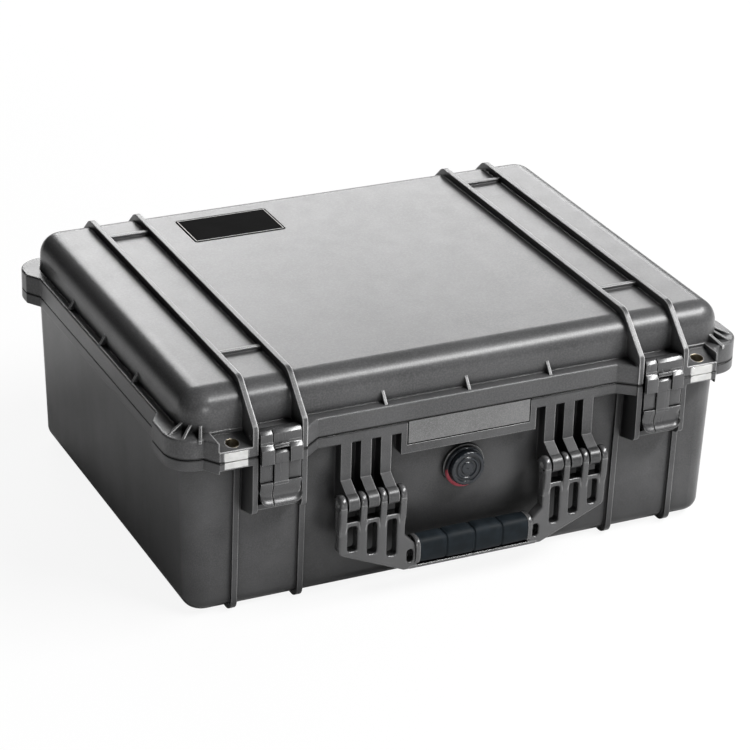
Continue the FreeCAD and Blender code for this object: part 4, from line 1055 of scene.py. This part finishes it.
@dataclass
class Valve(SubAssembly):
    """The pressure valve: turning knob, collar, red gasket, and nut and membrane inside."""

    centre_z: float = 100.0
    knob_back: float = -191.4
    knob_front: float = -196.3
    knob_radius: float = 15.5
    knob_bore: float = 7.3
    knob_tip: float = 0.6
    knob_hollow: float = 2.6
    knob_steps: int = 120
    collar_radius: float = 17.3
    collar_gap: float = 0.5
    collar_front: float = -190.4
    collar_back: float = -187.6
    collar_steps: int = 96
    crescent_radius: float = 18.9
    crescent_front: float = -191.6
    crescent_span: tuple[float, float] = (178.0, 352.0)
    crescent_steps: int = 48
    crescent_skew: float = 0.75
    crescent_least: float = 0.02
    crescent_fullness: float = 0.6
    scallops: int = 30
    scallop_depth: float = 0.35
    scallop_reach: float = 1.0

    def build(self) -> None:
        """Builds the knob, its collar and the red lip of the gasket."""
        self._knob().piece("valve_knob_turned", Body.VALVE, self.finishes.valve, Slot.VALVE, ["valve_knob"])
        self._collar().piece("valve_collar", Body.BASE, self.finishes.valve, Slot.VALVE)
        self._crescent().piece("valve_gasket_lip", Body.BASE, self.finishes.gasket, Slot.GASKET,
                               ["valve_gasket"])

    def dress(self) -> None:
        """Dresses the body, the nut and the membrane."""
        dress("valve_body", self.finishes.valve)
        dress("valve_nut", self.finishes.valve)
        dress("valve_membrane", self.finishes.membrane)

    def _knob(self) -> Maker:
        """Shapes the knob, with stepped rings on its face and finger scallops round its rim.

        Returns:
            The maker with the knob's faces.
        """
        front, back, radius = self.knob_front, self.knob_back, self.knob_radius
        floor = front + self.knob_hollow
        face = [(0.0, 1.2), (0.5, 0.35), (1.3, 0.0), (2.9, 0.0), (3.4, 0.3), (3.8, 1.3), (5.0, 1.5),
                (5.4, 1.2), (5.8, 0.6), (7.0, 0.45), (7.4, 0.8), (7.8, 1.7), (9.6, 1.8), (10.0, 1.5),
                (10.4, 0.9)]
        profile = [(self.knob_bore, back), (radius - 0.5, back), (radius, back - 0.5)]
        profile += [(radius - inset, front + depth) for inset, depth in face]
        profile += [(self.knob_tip, front + 0.7), (self.knob_tip, floor), (self.knob_bore, floor)]
        knob = Maker()
        knob.turn(profile, (0, 0, self.centre_z), Axis.Y, self.knob_steps)
        self._scallop(knob)
        return knob

    def _scallop(self, knob: Maker) -> None:
        """Presses finger scallops into the knob's rim.

        Args:
            knob: Maker that holds the turned knob.
        """
        for vert in knob.mesh.verts:
            x, z = vert.co.x / MM, vert.co.z / MM - self.centre_z
            reach = math.hypot(x, z)
            if reach > self.knob_radius - self.scallop_reach:
                dent = self.scallop_depth * (0.5 - 0.5 * math.cos(self.scallops * math.atan2(z, x)))
                vert.co.x = x * (1 - dent / reach) * MM
                vert.co.z = (self.centre_z + z * (1 - dent / reach)) * MM

    def _collar(self) -> Maker:
        """Shapes the fixed collar behind the knob.

        Returns:
            The maker with the collar's faces.
        """
        front, back = self.collar_front, self.collar_back
        outer, inner = self.collar_radius, self.knob_radius + self.collar_gap
        profile = [(inner, back), (outer, back), (outer, front + 0.8), (outer - 0.6, front),
                   (inner + 0.3, front), (inner, front + 0.4)]
        collar = Maker()
        collar.turn(profile, (0, 0, self.centre_z), Axis.Y, self.collar_steps)
        return collar

    def _crescent(self) -> Maker:
        """Shapes the red lip of the gasket, which shows below the knob.

        Returns:
            The maker with the lip's faces.
        """
        rings = []
        start, end = (math.radians(degrees) for degrees in self.crescent_span)
        inner, back = self.knob_radius + self.collar_gap, self.collar_back
        for step in range(self.crescent_steps + 1):
            share = step / self.crescent_steps
            angle = start + (end - start) * share
            arch = math.sin(math.pi * share ** self.crescent_skew)
            swell = max(self.crescent_least, arch) ** self.crescent_fullness
            outer = inner + (self.crescent_radius - inner) * swell
            front = self.collar_front + (self.crescent_front - self.collar_front) * swell
            across, up = math.cos(angle), math.sin(angle)
            section = ((inner, back), (outer, back), (outer, front + 0.9),
                       (outer - 0.3 * (outer - inner), front), (inner, front + 0.2))
            rings.append([Vector((radius * across, y, self.centre_z + radius * up)) * MM
                          for radius, y in section])
        lip = Maker()
        lip.loft(rings)
        return lip


# Studio


@dataclass(frozen=True)
class Softbox:
    """One soft lamp."""

    name: str
    place: Place
    aim: Place
    width: float
    height: float
    power: float

    def build(self) -> None:
        """Hangs the lamp and points it."""
        lamp = bpy.data.lights.new(self.name, "AREA")
        lamp.shape = "RECTANGLE"
        lamp.size = self.width
        lamp.size_y = self.height
        lamp.energy = self.power
        thing = bpy.data.objects.new(self.name, lamp)
        look = Vector(self.aim) - Vector(self.place)
        turn = look.to_track_quat("-Z", "Y").to_matrix().to_4x4()
        thing.matrix_world = Matrix.Translation(Vector(self.place)) @ turn
        bpy.context.scene.collection.objects.link(thing)


@dataclass
class Studio:
    """Pale floor, soft light and the camera."""

    eye: Place = (-0.99751, -2.08429, 1.21066)
    right: Place = (0.906378, -0.421592, 0.027171)
    down: Place = (-0.160672, -0.403481, -0.900771)
    ahead: Place = (0.390721, 0.812073, -0.433445)
    lens: float = 138.213
    floor_size: float = 30.0
    floor_drop: float = 0.0002
    floor_white: float = 0.74
    white_seen: float = 0.9
    white_mirrored: float = 0.05
    world_level: float = 0.02
    lamps: tuple[Softbox, ...] = (
        Softbox("softbox_rear", (1.1, 2.8, 1.2), (0, 0, 0.15), 2.4, 1.0, 47),
        Softbox("softbox_rear_high", (0.3, 2.75, 2.0), (0, 0, 0.15), 1.2, 0.5, 24),
        Softbox("softbox_low", (-0.3, -1.25, 0.3), (-0.15, -0.19, 0.1), 0.4, 0.25, 4),
        Softbox("softbox_front", (1.6, -1.3, 2.35), (0, 0, 0.1), 2.4, 0.6, 160),
    )

    def build(self) -> None:
        """Builds the floor, the light and the camera."""
        self._floor()
        self._world()
        for lamp in self.lamps:
            lamp.build()
        self._camera()
        bpy.context.scene.view_settings.view_transform = "Standard"

    def _floor(self) -> None:
        """Lays the floor, white to the eye, with the case's shadow on it."""
        half = self.floor_size / 2
        signs = ((-1, -1), (1, -1), (1, 1), (-1, 1))
        data = bpy.data.meshes.new("studio_floor")
        data.from_pydata([(x * half, y * half, -self.floor_drop) for x, y in signs], [], [(0, 1, 2, 3)])
        floor = bpy.data.objects.new("studio_floor", data)
        bpy.context.scene.collection.objects.link(floor)
        data.materials.append(self._paper())

    def _paper(self) -> Material:
        """Builds the floor's paper, whiter for the rays by which it is seen and less so in mirror images.

        Returns:
            The finished material.
        """
        graph = Graph("floor_paper")
        grain = graph.noise(size=4 * MM, detail=2)
        white = self.floor_white
        tone = graph.tint(graph.spread(grain, 0, 1), (white, white, white), (white * 1.02,) * 3)
        paper = graph.add("BsdfDiffuse", {"Color": tone})
        glow = graph.add("Emission", {"Color": (1, 1, 1, 1), "Strength": 1.0})
        rays = graph.add("LightPath").outputs
        straight = graph.reckon("MAXIMUM", rays["Is Camera Ray"], rays["Is Transmission Ray"])
        share = graph.reckon("MULTIPLY", straight, self.white_seen)
        share = graph.reckon("MULTIPLY_ADD", rays["Is Glossy Ray"], self.white_mirrored, share)
        mixed = graph.add("MixShader", {0: share, 1: paper.outputs[0], 2: glow.outputs[0]})
        graph.add("OutputMaterial", {"Surface": mixed.outputs[0]})
        return graph.material

    def _world(self) -> None:
        """Sets an even, dim grey all round."""
        world = bpy.data.worlds.new("studio_air")
        bpy.context.scene.world = world
        world.use_nodes = True
        air = world.node_tree.nodes["Background"].inputs
        air["Color"].default_value = (1, 1, 1, 1)
        air["Strength"].default_value = self.world_level

    def _camera(self) -> None:
        """Sets the camera at the viewing angle of the photograph."""
        data = bpy.data.cameras.new("camera_main")
        data.lens = self.lens
        data.sensor_width = 36.0
        data.sensor_fit = "HORIZONTAL"
        data.clip_end = 60.0
        camera = bpy.data.objects.new("camera_main", data)
        columns = (Vector(self.right), -Vector(self.down), -Vector(self.ahead))
        turn = Matrix(columns).transposed().to_4x4()
        camera.matrix_world = Matrix.Translation(Vector(self.eye)) @ turn
        bpy.context.scene.collection.objects.link(camera)
        bpy.context.scene.camera = camera


def main() -> None:
    """Builds the sub-assemblies in order, then the studio."""
    logging.basicConfig(level=logging.INFO, format="%(name)s: %(message)s")
    finishes = Finishes()
    parts: list[SubAssembly] = [Shells(finishes), Plates(finishes), Handle(finishes), Valve(finishes)]
    for side in Side:
        parts += [PadlockHasp(finishes, side), Latch(finishes, side)]
    for part in parts:
        part.build()
        part.dress()
    Studio().build()


if __name__ == "__main__":
    main()
